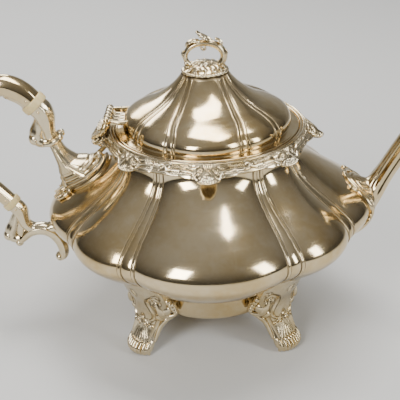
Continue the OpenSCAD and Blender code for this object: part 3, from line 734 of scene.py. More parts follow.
def make_finial_fixings():
    washer, nut = Piece(), Piece()
    z = CROWN - WALL - 1.2
    washer.lathe([[2.6, z], [5.8, z], [6, z + 0.2], [6, z + 0.95], [5.8, z + 1.15], [2.6, z + 1.15]],
                 n=64, closed=True)
    washer.build("finial_washer_disc", "lid", "silver_plate", "finial_washer")
    low = z - 3.25
    nut.lathe([[2.05, low], [3.8, low], [4.2, low + 0.4], [4.2, low + 2.8], [3.8, low + 3.2],
               [2.05, low + 3.2]], n=6, closed=True)
    nut.build("finial_nut_hex", "lid", "silver_plate", "finial_nut")


# ---- hinge -------------------------------------------------------------------------------

HINGE_X, HINGE_Z = -62.3, 147.9
AXIS = np.array([HINGE_X, 0, HINGE_Z])
KNUCKLE_R, KNUCKLE_L = 2.4, 5.0
LEAF_HALF = 12.3


def hinge_rings(r, y, n):
    """Circles round the axis of the hinge."""
    p = round_points(np.array(r)[:, None], phases(n), np.array(y)[:, None])
    return p[:, :, [0, 2, 1]] + AXIS


def barrel(piece, k):
    """One knuckle of the hinge: a cushion with a bead at each end."""
    n = 40
    y0 = (k - 2.5) * KNUCKLE_L + 0.15
    y1 = y0 + KNUCKLE_L - 0.3
    y = np.linspace(y0, y1, 25)
    t = (y - y0) / (y1 - y0)
    r = KNUCKLE_R - 0.45 + 0.3 * np.sin(math.pi * t) + 0.42 * (bell(t, 0.1, 0.07) + bell(t, 0.9, 0.07))
    grooves = 0.8 * ((np.abs(t - 0.2) < 0.05) | (np.abs(t - 0.8) < 0.05))
    piece.grid(hinge_rings([1.15, *r, 1.15], [y0, *y, y1], n), cavity=np.array([1, *grooves, 1])[:, None])


def slab(piece, top, low, height):
    """A plate between two grids of the same size, closed round its edge."""
    piece.grid(top, height, wrap_cols=False, out=-1)
    lifted = piece.verts[-1].reshape(top.shape)
    piece.grid(low, wrap_cols=False)
    piece.grid([np.concatenate([g[0], g[1:, -1], g[-1, ::-1][1:], g[::-1, 0][1:-1]]) for g in (lifted, low)],
               out=-1)


def make_body_leaf():
    piece = Piece()
    for k in (0, 2, 4):
        barrel(piece, k)
    # the standing plate under the barrel, hollowed along its outer face, and its spreading foot
    m, n = 60, 90
    spine = smooth_line([[-1.3, 146], [-0.9, 145.4], [-1.2, 143.2], [-2.6, 141.6], [-5.2, 140.9],
                         [-7.6, 140]], m, 2)
    s = np.linspace(0, 1, m)[:, None]
    y = np.linspace(-LEAF_HALF, LEAF_HALF, n)
    u = y * (1 - 0.45 * np.clip((s - 0.55) / 0.45, 0, 1) ** 1.5)
    v = np.repeat(s * 11, n, 1)
    plate = np.stack(np.broadcast_arrays(HINGE_X + spine[:, :1], u, spine[:, 1:]), axis=2)
    h = np.zeros((m, n))
    fan(h, u, v, (0, 2), [(-8, 9.5), (-5.6, 10.2), (-2.8, 10.6), (0, 10.8), (2.8, 10.6), (5.6, 10.2),
                          (8, 9.5)], 1.25, 0.8)
    for side in SIDES:
        stroke(h, u, v, volute(side * 9.0, 4.2, 2.3, -90, side * 420, 0.2), 0.75, 0.9)
        stroke(h, u, v, [[side * 11.6, 0.5], [side * 11.2, 5], [side * 8, 9.6]], 0.7, 0.8)
        stroke(h, u, v, [[side * 3.2, 1.0], [side * 5.4, 3.4]], 0.7, 0.7, vein=0.3)
        # a scrolled arm at each end of the barrel, down to the tip of the border
        mirror = np.array([1, side, 1])
        arm = np.array([[-0.8, 12.6, -2.3], [-2.2, 12.6, -5.3], [-3.9, 10.6, -8.0], [-6.5, 7.2, -10.1],
                        [-9.1, 4.0, -12.5], [-11.3, 1.4, -15.1]])
        piece.rod(AXIS + arm * mirror, [1.5, 2.3, 2.0, 1.2], 18, stops=[0, 0.2, 0.5, 1])
        piece.ball(AXIS + [-1, side * 12.2, -3], 2.5, 20, (1, 0.8, 1))
        groove = np.array([[-4.0, 9.0, -6.5], [-6.3, 4.6, -8.7], [-9.5, 1.2, -11.5]])
        piece.rod(AXIS + groove * mirror, [1.3, 0.9])
    slab(piece, plate, plate + (1 - s[:, None]) * [1.9, 0, 0] + s[:, None] * [0.4, 0, -1.1], h)
    piece.grid([[AXIS + [1, across, z] for across in y] for z in (-1.5, -8)], wrap_cols=False)
    piece.build("hinge_body_leaf_cast", "pot", "cast_silver_plate", "hinge_body_leaf")


def make_lid_leaf():
    piece = Piece()
    for k in (1, 3):
        barrel(piece, k)
    m, n = 60, 110
    y = np.linspace(-LEAF_HALF, LEAF_HALF, n)
    s = np.linspace(0, 1, m)[:, None]
    x0, x1 = HINGE_X + 2.2, 0.2 - np.sqrt(50.0 ** 2 - y ** 2)
    top = np.stack(np.broadcast_arrays(x0 + (x1 - x0) * s, y, 147.2 - 0.7 * np.sin(math.pi * s)), axis=2)
    low = top.copy()
    low[:, :, 2] = 145.5
    flutes = 0.6 * np.abs(np.cos(y * math.pi / 4.9)) ** 0.6
    slab(piece, top, low, flutes * np.clip(s / 0.1, 0, 1) * np.clip((1 - s) / 0.06, 0, 1))
    end = x1[0]
    for side in SIDES:
        piece.rod(np.array([[x0 + 0.2, 11.4, 147.8], [x0 + 4, 12.4, 147.4], [(x0 + end) / 2, 12.7, 146.9],
                            [end - 1, 12.6, 147.3], [end + 0.8, 11.6, 148.2]]) * [1, side, 1],
                  [0.9, 1.35, 1.0], 16)
        piece.ball([end + 0.4, side * 11.4, 148.2], 1.5, 16)
        piece.rod([AXIS + [x, side * 7.5, z] for x, z in ((1.4, -0.5), (2.6, -1.0), (3.4, -1.3))], 0.9, 8, 4)
        # the arm from a knuckle to the plate
        piece.grid([[AXIS + [x, side * KNUCKLE_L + w * 2.3, z + t * half]
                     for w, t in ((-1, -1), (1, -1), (1, 1), (-1, 1))]
                    for x, z, half in ((0.6, -1, 1.0), (2.9, -1.4, 0.9))], caps=(0, 1))
    piece.build("hinge_lid_leaf_cast", "lid", "cast_silver_plate", "hinge_lid_leaf")


def make_pin():
    piece = Piece()
    knob = [[0.05, 13.9], [1.2, 13.75], [2.0, 13.3], [2.15, 12.9], [1.9, 12.62], [1.1, 12.6]]
    r, y = np.array([*[[r, -y] for r, y in knob], *knob[::-1]]).T
    piece.grid(hinge_rings(r, y, 32), caps=(0, 1))
    piece.build("hinge_pin_rod", "pot", "silver_plate", "hinge_pin")

# ---- handle ------------------------------------------------------------------------------

# Middle of each insulating ring as [x, z], and the way the handle runs through it
UPPER_AT, UPPER_DIR = np.array([-108.7, 157.2]), unit([-0.657, 0.754])
LOWER_AT, LOWER_DIR = np.array([-131.8, 87.7]), unit([0.647, -0.763])


def turned_grid(rows, n, section=None):
    """Rings between an upper and a lower edge, from rows of [x, z, x, z, half width]. section
    changes the radius round each ring."""
    q = np.asarray(rows, float)
    phi = phases(n)
    c, v = (q[:, 0:2] + q[:, 2:4]) / 2, (q[:, 0:2] - q[:, 2:4]) / 2
    scale = 1.0 if section is None else section(np.linspace(0, 1, len(q))[:, None], phi)
    cos, sin = np.cos(phi) * scale, np.sin(phi) * scale
    return np.stack([c[:, :1] + v[:, :1] * cos, -q[:, 4:5] * sin, c[:, 1:2] + v[:, 1:2] * cos], axis=2)


def path_edges(rows):
    """Edge rows of a path of [x, z, half height, half width]."""
    q = np.asarray(rows, float)
    go = unit(np.gradient(q[:, :2], axis=0))
    v = np.stack([-go[:, 1], go[:, 0]], axis=1) * q[:, 2:3]
    return np.concatenate([q[:, :2] + v, q[:, :2] - v, q[:, 3:4]], axis=1)


def ridge(phi, middle, tall, hollow, away, wide):
    """A raised line at one angle of a bar, with a hollow at each side of it."""
    off = (phi - middle + math.pi) % TAU - math.pi
    return tall * bell(off, 0, 0.12) - hollow * bell(np.abs(off), away, wide)


def channelled(t, phi):
    """A bar with a raised edge along each side and a shallow channel between."""
    return 1 + 0 * t + sum(share * ridge(phi, s * middle, 0.05, 0.03, 0.34, 0.18)
                           for middle, share in ((1.15, 1), (math.pi - 0.75, 0.3)) for s in SIDES)


def reeded(t, phi):
    """A tube with four raised lines down each side, which fade at its ends."""
    fade = np.clip(t / 0.06, 0, 1) * np.clip((1 - t) / 0.16, 0, 1)
    return 1 + fade * sum(ridge(phi, s * middle, tall, 0.04, 0.29, 0.15)
                          for middle, tall in ((0.62, 0.07), (1.25, 0.08), (1.9, 0.08), (2.52, 0.07))
                          for s in SIDES)


def crossed(t, phi):
    """A bar with a fine raised line on each of its four sides."""
    return 1 + 0.07 * np.cos(2 * phi) ** 8 - 0.05 * np.cos(2 * (phi - 0.5)) ** 8 + 0 * t


def insulator(name, at, go, radius, thick, tenon, node):
    """A ring of bone with a tenon at each side."""
    piece = Piece()
    h, deep = thick / 2, thick / 2 + 4.4
    piece.lathe([[0.01, -deep], [tenon, -deep], [tenon, -h], [radius - 0.7, -h], [radius - 0.2, -h + 0.2],
                 [radius, -h + 0.7], [radius + 0.06, 0], [radius, h - 0.7], [radius - 0.2, h - 0.2],
                 [radius - 0.7, h], [tenon, h], [tenon, deep], [0.01, deep]], n=96)
    turn = Matrix.Translation((at[0], 0, at[1])) @ Matrix.Rotation(math.atan2(go[0], go[1]), 4, "Y")
    piece.build(name, "pot", "bone", node, turn)


def rivets(name, at, go, thick, r, tube_r, node):
    """The rivet heads at both sides of the handle, through each side of an insulating ring."""
    piece = Piece()
    a = phases(20)
    round_way = np.outer(np.cos(a), [go[1], -go[0]]) + np.outer(np.sin(a), go)
    for s in SIDES:
        x, z = at + go * s * (thick / 2 + 2.2)
        for side in SIDES:
            piece.grid([np.stack([x + reach * round_way[:, 0], np.full_like(a, side * (tube_r + y)),
                                  z + reach * round_way[:, 1]], axis=1)
                        for reach, y in ((r, -2), (r, 0.05), (r * 0.8, 0.25), (0.03, 0.35))], out=-side)
    piece.build(name, "pot", "silver_plate", node)


def make_grip():
    piece = Piece()
    m, n, wall = 420, 144, np.array([0, 0, 1.2, 1.2])
    q = smooth_line([[*(UPPER_AT + UPPER_DIR * 2.85), 7.2, 7.2], [*(UPPER_AT + UPPER_DIR * 7.65), 7.4, 7.4],
                     [-120.6, 167.4, 7.8, 7.6], [-129, 169.8, 7.1, 7.2], [-141, 166.4, 6.5, 6.8],
                     [-150.8, 155, 6.2, 6.6], [-155.8, 138.6, 6.1, 6.4], [-154, 120.6, 5.8, 6],
                     [-146.6, 105, 5.5, 5.6], [*(LOWER_AT - LOWER_DIR * 7.15), 5.3, 5.3],
                     [*(LOWER_AT - LOWER_DIR * 2.35), 5.3, 5.3]], m, 6)
    along = np.linspace(0, 190, m)[:, None] * np.ones(n)
    across = ((phases(n) + math.pi) % TAU - math.pi) * 6.8 * np.ones((m, 1))
    # an acanthus leaf lies over the top of the handle, its tip towards the upper ring
    h = np.zeros((m, n))
    stroke(h, across, along, [[0, 22], [0, 62]], [0.5, 1.5], 0.9, vein=0.5)
    for s in SIDES:
        for k in range(6):
            y, out = 27 + 6 * k, 0.25 * k
            lobe = curve([[0, y + 5], [3.0, y + 2.2], [5.2 + out, y - 2.5], [6.0 + out, y - 5.5]], 5)
            stroke(h, across, along, lobe * [s, 1], [2.2, 1.0], 0.75, vein=0.3)
        outline = curve([[0, 18], [4, 26], [7.4, 40], [7.8, 58], [4, 66], [0, 70]], 6)
        stroke(h, across, along, outline * [s, 1], 0.55, 0.8)
        stroke(h, across, along, volute(s * 3.6, 71, 2.6, -90, -s * 420, 0.2), 0.7, 0.8)
    piece.grid(turned_grid(path_edges(q), n, channelled), h)
    outside, inside = turned_grid(path_edges(q), 60), turned_grid(path_edges(q - wall), 60)
    for end, part, out in ((0, slice(0, 26), -1), (-1, slice(-26, None), 1)):
        piece.grid(turned_grid(path_edges(q[part] - wall), 60), out=-1)
        piece.grid([outside[end], inside[end]], out=out)
    piece.build("handle_grip_tube", "pot", "silver_plate", "handle_grip")


def on_bowl(end, points, lift, s=1):
    """Pairs of [y, z] laid over the bowl at one end of the pot. s mirrors them."""
    y, z = np.asarray(points, float).T * [[s], [1]]
    return np.stack([end * (bowl_x(y, z) + lift), y, z], axis=1)


def patch_ring(end, z, half_height, half_width, n, lift):
    """An oval laid over the bowl at one end of the pot."""
    a = phases(n)
    return on_bowl(end, np.stack([-half_width * np.sin(a), z + half_height * np.cos(a)], axis=1), lift)


def bent(first, middle, last, steps):
    """Rings that lead from the first to the last in a bend pulled towards the middle one."""
    way = steps[:, None, None]
    return (1 - way) ** 2 * first + 2 * (1 - way) * way * middle + way ** 2 * last


def arm(piece, rows, m):
    """A channelled bar along a smooth path of [x, z, half height, half width]."""
    piece.grid(turned_grid(path_edges(smooth_line(rows, m, 3, 14)), 96, channelled), caps=(0, 1))


def curl(piece, rows, section=None):
    """A bar that rolls up behind a socket, along the same kind of path."""
    piece.grid(turned_grid(path_edges(smooth_line(rows, 90, 2, 10)), 40, section), caps=(0, 1))


def make_upper_socket():
    piece = Piece()
    n = 160
    across = np.array([UPPER_DIR[1], -UPPER_DIR[0]])
    rows = [[*(c + across * 7.2), *(c - across * 7.2), 7.2]
            for c in (UPPER_AT - UPPER_DIR * 2.85, UPPER_AT - UPPER_DIR * 7.65)]
    rows += [[-96.2, 149, -107.8, 143.6, 6.6], [-96.9, 142, -106, 139.4, 5.8], [-96.8, 136, -104.4, 134, 5.4],
             [-94.2, 131, -102.4, 129, 5.4], [-90.8, 125, -100.2, 122.4, 6.6], [-84.6, 120.4, -98, 114, 9]]
    body = turned_grid(soften(curve(rows, 18), 3), n, channelled)
    middle = 0.62 * patch_ring(-1, 108.6, 11.4, 14.4, n, 2.4) + 0.38 * body[-1]
    foot = bent(body[-1], middle, patch_ring(-1, 108, 12.4, 15.5, n, 0.4), np.linspace(0, 1, 44)[1:])
    p = np.concatenate([body, foot])
    first, m = len(body), len(p)
    down = np.arange(m)[:, None] * np.ones(n)
    turn = 10 * phases(n) * np.ones((m, 1))
    h = np.zeros((m, n))
    # ridges that follow the edge of the base, each with a hollow between
    for back, wide, tall in ((3, 2.4, 1.3), (11, 2.6, 1.0), (20, 2.6, 0.8), (29, 2.4, 0.5)):
        h = np.maximum(h, tall * hump(down - (m - back), wide) * np.clip((down - first) / 12, 0, 1))
    # a stem down each side, from the knot to the curl on the bowl, and a finer one beside it
    way = np.linspace(0, 1, 14)
    for s in SIDES:
        c = math.pi - s * 0.62
        stem = np.stack([10 * (c + s * 0.22 * np.sin(way * 3)), first - 40 + (m - first + 38) * way], axis=1)
        stroke(h, turn, down, stem, [1.9, 2.8], 1.9, vein=0.12)
        stem = np.stack([10 * (c - s * 0.75 - s * 0.3 * way), first - 36 + (m - first + 20) * way], axis=1)
        stroke(h, turn, down, stem, [1.2, 1.6], 0.9)
    piece.grid(p, h, reach=(3, 4), depth=0.5)
    for s in SIDES:
        # the knot where the branches part
        piece.rod([[-94.0, s * 2.6, 136.6], [-94.2, s * 5.6, 135.2], [-97.4, s * 6.9, 133.2],
                   [-101.2, s * 6.2, 131.4], [-104.6, s * 4.0, 130.8]], [1.5, 2.1, 1.5], 16)
        piece.ball([-94.2, s * 3.4, 135.0], 2.3, 18)
        # leaves and a curl where the stem lands on the bowl
        for points, widths in (([[7.4, 104.6], [10.2, 100.4], [13.8, 97.6]], [1.0, 2.4, 2.2, 0.4]),
                               ([[5.4, 102.6], [6.6, 98.0], [8.8, 93.8]], [1.0, 2.5, 2.3, 0.4]),
                               ([[3.0, 101.4], [2.6, 96.6], [3.4, 92.2]], [1.0, 2.2, 2.0, 0.4])):
            leaf_blade(piece, on_bowl(-1, curve(points, 9), 1.5, s), widths, 1.3, 2, (0.25, s * 0.9, 0.45))
        spiral = curve(volute(11.4, 97.4, 3.4, 130, -430, 0.22, 40)[::2], 9)[::4]
        piece.tube(on_bowl(-1, spiral, 2.2, s), [1.5, 1.0], 14)
        # the little upright scroll at the neck of the bowl
        piece.rod([[-78.5, s * 13.2, 111.5], [-73.6, s * 13.0, 115.6], [-69.4, s * 12.2, 119.6],
                   [-67.4, s * 11.2, 123.6], [-69.4, s * 10.4, 126.0], [-71.8, s * 10.2, 124.2],
                   [-70.6, s * 10.2, 122.4]], [1.3, 1.9, 1.0], 16, 9)
    # the curl behind the socket, with its rolled end
    curl(piece, [[-107.9, 148.6, 1.8, 3.2], [-107.4, 144.6, 3.4, 3.9], [-107.8, 140.2, 4.8, 4.3],
                 [-108.9, 136.0, 5.2, 4.7], [-108.6, 132.8, 4.9, 4.8], [-106.0, 131.2, 4.2, 4.6],
                 [-102.6, 131.8, 3.4, 4.4]], crossed)
    curl(piece, [[-104.0, 147.0, 2.4, 3.0], [-103.6, 141.0, 3.4, 3.4], [-103.4, 136.0, 4.2, 3.6],
                 [-103.0, 132.6, 3.4, 3.4]])
    piece.ball([-110.4, 0, 133.4], 4.7, 28, (1, 1.16, 1))
    piece.ball([-110.2, 0, 133.6], 2.3, 20, (1, 2.7, 1))
    piece.build("handle_upper_socket_cast", "pot", "cast_silver_plate", "handle_upper_socket")


def make_lower_socket():
    piece = Piece()
    # the stem from the ring, and the S-arm it stands on
    arm(piece, [[*(LOWER_AT + LOWER_DIR * 2.35), 5.3, 5.3], [*(LOWER_AT + LOWER_DIR * 7.15), 5.3, 5.3],
                [-126.0, 77, 4.4, 5.1], [-124.8, 72.4, 3.9, 5.0], [-121.4, 68.8, 3.8, 5.0],
                [-116.6, 67.4, 3.6, 4.8]], 120)
    arm(piece, [[-131.0, 56.8, 2.0, 3.2], [-127.0, 61.2, 2.9, 4.4], [-120.8, 66.4, 3.9, 5.4],
                [-113, 67.4, 4.2, 5.6], [-106.8, 64.2, 4.3, 5.4], [-102.5, 57.8, 4.0, 5.0],
                [-101.0, 51, 3.6, 4.7], [-101.6, 46.4, 3.1, 4.2], [-104.4, 44.4, 2.4, 3.8]], 220)
    # the curl behind the stem
    curl(piece, [[-129.6, 81, 2.0, 3.2], [-130.9, 75.8, 3.3, 3.8], [-132.3, 71.0, 4.1, 4.1],
                 [-134.5, 66.6, 4.5, 4.4], [-134.9, 63.2, 4.3, 4.5], [-132.4, 61.2, 3.7, 4.4],
                 [-129.0, 62.0, 3.2, 4.2]], crossed)
    curl(piece, [[-126.6, 76.4, 2.2, 3.0], [-127.8, 71.0, 3.6, 3.4], [-128.6, 66.6, 3.8, 3.4],
                 [-128.4, 62.8, 3.0, 3.2]])
    # the rolled ends, most with a bead at each side
    for x, z, radius, n, wide in ((-136.6, 63.4, 4.1, 26, 1.22), (-136.4, 63.6, 2.0, 18, 2.75),
                                  (-130.4, 57.6, 2.9, 22, 1.4), (-104.0, 45.6, 3.2, 24, 1.4),
                                  (-104.2, 45.8, 1.6, 18, 3.05)):
        piece.ball([x, 0, z], radius, n, (1, wide, 1))
    # the lug on the bowl
    n = 64
    lug = turned_grid(path_edges(curve([[-112, 66.6, 3.4, 4.6], [-107.6, 68.0, 4.2, 4.8],
                                        [-104, 69.0, 4.6, 4.8]], 8)), n)
    way = np.linspace(0, 1, 14)[1:, None, None] ** 1.4
    foot = lug[-1] * (1 - way) + patch_ring(-1, 71, 6.8, 6.8, n, 0.35) * way
    piece.grid(np.concatenate([lug, foot]))
    piece.build("handle_lower_socket_cast", "pot", "cast_silver_plate", "handle_lower_socket")


# ---- spout -------------------------------------------------------------------------------

# Rows of upper edge [x, z], lower edge [x, z] and half width
SPOUT = [[104.4, 97.4, 109.4, 74.6, 9.8], [107, 100, 113, 82.6, 8], [111.6, 106.8, 119.6, 97, 6.8],
         [118, 117.8, 127.2, 110.4, 6.4], [125.5, 129.8, 134.4, 123, 6.2], [134.5, 141, 142.6, 134.2, 6],
         [145.5, 150.6, 151, 142.2, 5.9], [155.8, 156.6, 159.4, 147.4, 6], [158.4, 158, 161.8, 148, 6.4]]
SPOUT_WALL = 1.3


def make_spout():
    piece = Piece()
    n = 144
    edges = smooth_line(SPOUT, 260, 5, 20)
    tube = turned_grid(edges, n, reeded)
    flare = bent(patch_ring(1, 74, 25.8, 21.2, n, 0.5), patch_ring(1, 77.6, 18, 14.6, n, 4.4), tube[0],
                 np.linspace(0, 1, 50)[:-1])
    p = np.concatenate([flare, tube])
    m = len(p)
    around = 16 * phases(n) * np.ones((m, 1))
    down = np.arange(m)[:, None] * np.ones(n)
    h = 0.9 * bell(down, 3, 2.0) + 0.7 * bell(down, 12, 1.6)
    for c in phases(22) + math.pi / 22:
        lean = np.linspace(0, 3, 8)
        line = np.stack([16 * (c + 0.12 * np.sin(lean)), np.linspace(14, 40, 8)], axis=1)
        stroke(h, around, down, line, [1.7, 0.6], 0.75, vein=0.35)
    for c in 16 * (phases(36) + math.pi / 36):
        stroke(h, around, down, [[c, 6], [c, 9]], 1.1, 0.8)
    piece.grid(p, h, out=-1)
    c, v = (edges[:, 0:2] + edges[:, 2:4]) / 2, (edges[:, 0:2] - edges[:, 2:4]) / 2
    v = v * (1 - SPOUT_WALL / np.linalg.norm(v, axis=1, keepdims=True))
    inside = turned_grid(np.concatenate([c + v, c - v, edges[:, 4:] - SPOUT_WALL], axis=1), n)
    piece.grid(inside[::-1], out=-1)
    lip = np.linspace(0, math.pi, 8)[:, None, None]
    piece.grid(tube[-1] * (0.5 + 0.5 * np.cos(lip)) + inside[-1] * (0.5 - 0.5 * np.cos(lip))
               + 0.55 * np.sin(lip) * [0.9, 0, 0.45], out=-1)
    # scrolled wings of the cast flange, down both sides of the base
    wing = curve([[1, 101.2], [8.4, 99.6], [15.0, 95.0], [19.2, 88.4], [19.6, 81.6], [22.4, 75.4],
                  [21.6, 66.6], [17.0, 57.6], [9.4, 50.6], [1, 47.8]], 10)
    for s in SIDES:
        piece.tube(on_bowl(1, wing, 0.9, s), spread([1.2, 1.8, 1.3], len(wing)), 14)
        for y, z, r, start, turns in ((14.4, 98.0, 2.8, 200, 400), (23.0, 78.6, 3.1, 90, 420),
                                      (20.2, 60.2, 2.9, 60, 400)):
            piece.tube(on_bowl(1, volute(y, z, r, start, turns), 1.1, s), [1.2, 0.8], 10)
            piece.ball(on_bowl(1, [[y, z]], 1.2, s)[0], 1.3, 14)
    piece.build("spout_tube", "pot", "silver_plate", "spout")


def make_strainer():
    piece = Piece()
    n, cup_r, hole_r, thick = 72, 8.8, 1.5, 1.0
    floor_x, middle_z = GIRTH_R - 3.4, 84
    a = phases(n)
    ways = np.stack([np.cos(a), np.sin(a)], axis=1)

    def ring(r, x, at=(0, 0)):
        p = np.asarray(at) + np.reshape(r, (-1, 1)) * ways
        return np.stack([np.full(n, x), p[:, 0], middle_z + p[:, 1]], axis=1)

    piece.grid([ring(8.0, floor_x + thick), ring(8.0, floor_x + 10), ring(8.95, floor_x + 10),
                ring(8.95, floor_x + 0.2), ring(8.75, floor_x)], out=-1)
    # the pierced floor: a cell round each hole, out to halfway to its neighbours or to the wall
    holes = np.concatenate([[[0, 0]], round_points(5.1, phases(6), 0)[:, :2]])
    for hole in holes:
        along = ways @ hole
        reach = np.sqrt(np.maximum(along ** 2 - hole @ hole + cup_r ** 2, 0)) - along
        for gap in holes - hole:
            toward = ways @ gap
            near = toward > 1e-6
            reach[near] = np.minimum(reach[near], gap @ gap / 2 / toward[near])
        for x, out in ((floor_x, 1), (floor_x + thick, -1)):
            piece.grid([ring(hole_r, x, hole), ring(reach, x, hole)], out=out)
        piece.grid([ring(hole_r, floor_x, hole), ring(hole_r, floor_x + thick, hole)])
    piece.build("spout_strainer_cup", "pot", "silver_plate", "spout_strainer")

# ---- feet --------------------------------------------------------------------------------

# Rings of [height, inner radius, outer radius, half width], from the bowl down
FOOT = [[42, 54.2, 69, 17.9], [35, 53.4, 65.8, 16.9], [27, 53.6, 64.6, 13.6], [19, 57, 66, 11.2],
        [10.5, 61, 70.6, 10.2], [4.2, 64, 74.2, 10.6], [1.2, 65.5, 73.2, 8.6]]
SEAT_IN, SEAT_OUT, SEAT_HALF = 58.0, 74.4, 16.5
PAD_R, PAD_AT = 3.5, 69.5


def bowl_under(a, r):
    """Heights of the bowl's underside at polar angles a and radii r."""
    line_r, line_z = BOWL[BOWL[:, 1] <= GIRTH_Z].T
    return np.array([np.interp(one, line_r + bulge(turn, line_z), line_z) for turn, one in zip(a, r)])


def foot_relief(u, v):
    """Relief of a foot's face: u runs across it and v up from the table, in millimetres."""
    h = np.zeros_like(u)
    for s in SIDES:
        edge = curve([[8.6, 8], [9.2, 13], [9.8, 18], [11.0, 23], [12.6, 27], [15.2, 31]], 8)
        stroke(h, u, v, edge * [s, 1], [1.2, 1.7], 1.5)
        # the S-shaped border of the smooth panel, rolled in at both ends
        border = curve([[4.6, 22.4], [7.4, 24.4], [8.8, 28.4], [7.6, 32.6], [6.6, 36.6], [8.2, 40.8],
                        [12.0, 43.8]], 8)
        stroke(h, u, v, border * [s, 1], [1.0, 1.7], 1.7)
        stroke(h, u, v, volute(s * 12.2, 40.6, 3.3, 80, -s * 400, 0.25, 34), 1.2, 1.6)
        leaf = curve([[10.4, 26.4], [12.0, 30.4], [11.0, 35.2]], 8)
        stroke(h, u, v, leaf * [s, 1], 1.3, 1.3, vein=0.3)
        # a rosette at each end of the border
        for way in round_points(1, phases(5), 0)[:, :2]:
            for x, y, near, far, width, height in ((3.4, 21.6, 1.3, 2.0, 1.0, 1.3),
                                                   (14.4, 45.2, 1.2, 1.7, 0.9, 1.2)):
                middle = np.array([s * x, y])
                stroke(h, u, v, [middle + near * way, middle + far * way], width, height)
        dot(h, u, v, (s * 3.4, 21.6), 1.1, 1.7)
        dot(h, u, v, (s * 7.6, 20.4), 1.3, 1.3)
    stroke(h, u, v, [[0, 24.4], [0, 27.4]], [1.9, 0.7], 1.6, vein=0.2)
    stroke(h, u, v, [[0, 46.4], [0, 42.8]], [2.2, 0.8], 1.5, vein=0.3)
    # fine flutes that spread from the ankle to the toe
    for k in range(-4, 5):
        flute = curve([[k * 0.95, 19.6], [k * 1.35, 15.4], [k * 1.85, 11.6], [k * 2.15, 7.6]], 6)
        stroke(h, u, v, flute, [0.45, 0.85], 0.55)
    return h


def make_foot(name, turn):
    """A foot that points out from the pot in the direction turn, in degrees."""
    piece = Piece()
    n, m, neck = 288, 190, 24
    go = math.radians(turn)
    face = smooth_line(FOOT, m, 4, 20)
    way = np.arange(neck)[:, None] / neck
    seat = np.array([0, SEAT_IN, SEAT_OUT, SEAT_HALF])
    z, inner, outer, half = face[-1]
    middle, reach = (inner + outer) / 2, (outer - inner) / 2
    sole = [[z * (k - 0.3) / 0.66 * 0.6, middle - reach * k, middle + reach * k, half * k]
            for k in (0.96, 0.86, 0.66, 0.3)]
    z, inner, outer, half = np.concatenate([seat * (1 - way) + face[0] * way, face, sole]).T[:, :, None]
    a = phases(n)
    cos, sin = np.cos(a), np.sin(a)
    r = (inner + outer) / 2 + (outer - inner) / 2 * np.sign(cos) * np.abs(cos) ** 0.7
    u = half * np.sign(sin) * np.abs(sin) ** 0.8
    t = go + u / ((inner + outer) / 2)
    v = z * np.ones(n)
    under = bowl_under(np.degrees(t[0]), r[0]) - 0.05
    v[:neck] = under * (1 - way) + face[0, 0] * way
    h = foot_relief(u, v) * np.clip(3.2 * cos + 0.9, 0, 1) * np.clip((v - 0.8) / 2.2, 0, 1)
    piece.grid(round_points(r, t, v), h, out=-1, caps=(1,), depth=0.4)

    def placed(rows, s=1):
        """Points of the foot from rows of [distance from the pot's middle, distance across, height]."""
        r, across, z = np.asarray(rows, float).T
        return round_points(r, go + s * across / r, z)

    out_way, side_way = round_points(1, np.array([go, go + math.pi / 2]), 0)
    for s in SIDES:
        # a scroll boss at each side of the top: a spine of beads, and a C under it
        spine = curve(placed([[60.4, 15.4, 42.0], [58.4, 17.2, 38.4], [57.0, 18.4, 34.6], [55.6, 18.6, 31.0],
                              [54.8, 17.8, 28.0]], s), 8)
        piece.tube(spine, spread([1.6, 2.6, 2.0, 1.2], len(spine), [0, 0.4, 0.8, 1]), 18)
        for k in range(5):
            piece.ball(spine[5 + 5 * k] + 0.9 * (s * side_way + out_way), 2.3 - 0.16 * k, 18)
        piece.rod(placed([[63.6, 12.6, 39.0], [63.8, 14.0, 34.6], [62.4, 14.6, 30.8], [59.6, 15.6, 28.0],
                          [55.0, 17.6, 27.4]], s), [1.5, 2.5, 1.3], 18)
        piece.ball(placed([[58.6, 13.4, 33.0]], s)[0], 5.2, 26)
        piece.ball(placed([[60.6, 11.4, 27.4]], s)[0], 3.4, 22)
        piece.rod(placed([[55.2, 17.4, 27.2], [58.0, 14.2, 24.6], [60.4, 11.8, 20.4], [62.6, 10.6, 15.0],
                          [65.0, 10.0, 9.4]], s), [1.2, 1.9, 1.0], 16, stops=[0, 0.3, 1])
    # the toe is a full roll with flutes across it
    for across in np.linspace(-9, 9, 9):
        back = 0.045 * across ** 2
        flute = curve(placed([[r - back, across, z] for r, z in
                              ((68.2, 9.8), (71.8, 8.8), (74.2, 6.6), (75.0, 3.9), (73.6, 1.5))]), 6)
        along = np.linspace(0, 1, len(flute))
        piece.tube(flute, 1.0 + 0.28 * np.sin(7 * along) ** 2 - 0.3 * (1 - along) ** 4, 14)
    piece.lathe([[0.01, 0.0], [PAD_R - 0.2, 0.0], [PAD_R, 0.3], [PAD_R, 2]], n=40, at=out_way * PAD_AT)
    piece.build(name + "_cast", "pot", "cast_silver_plate", name)


# ---- build -------------------------------------------------------------------------------

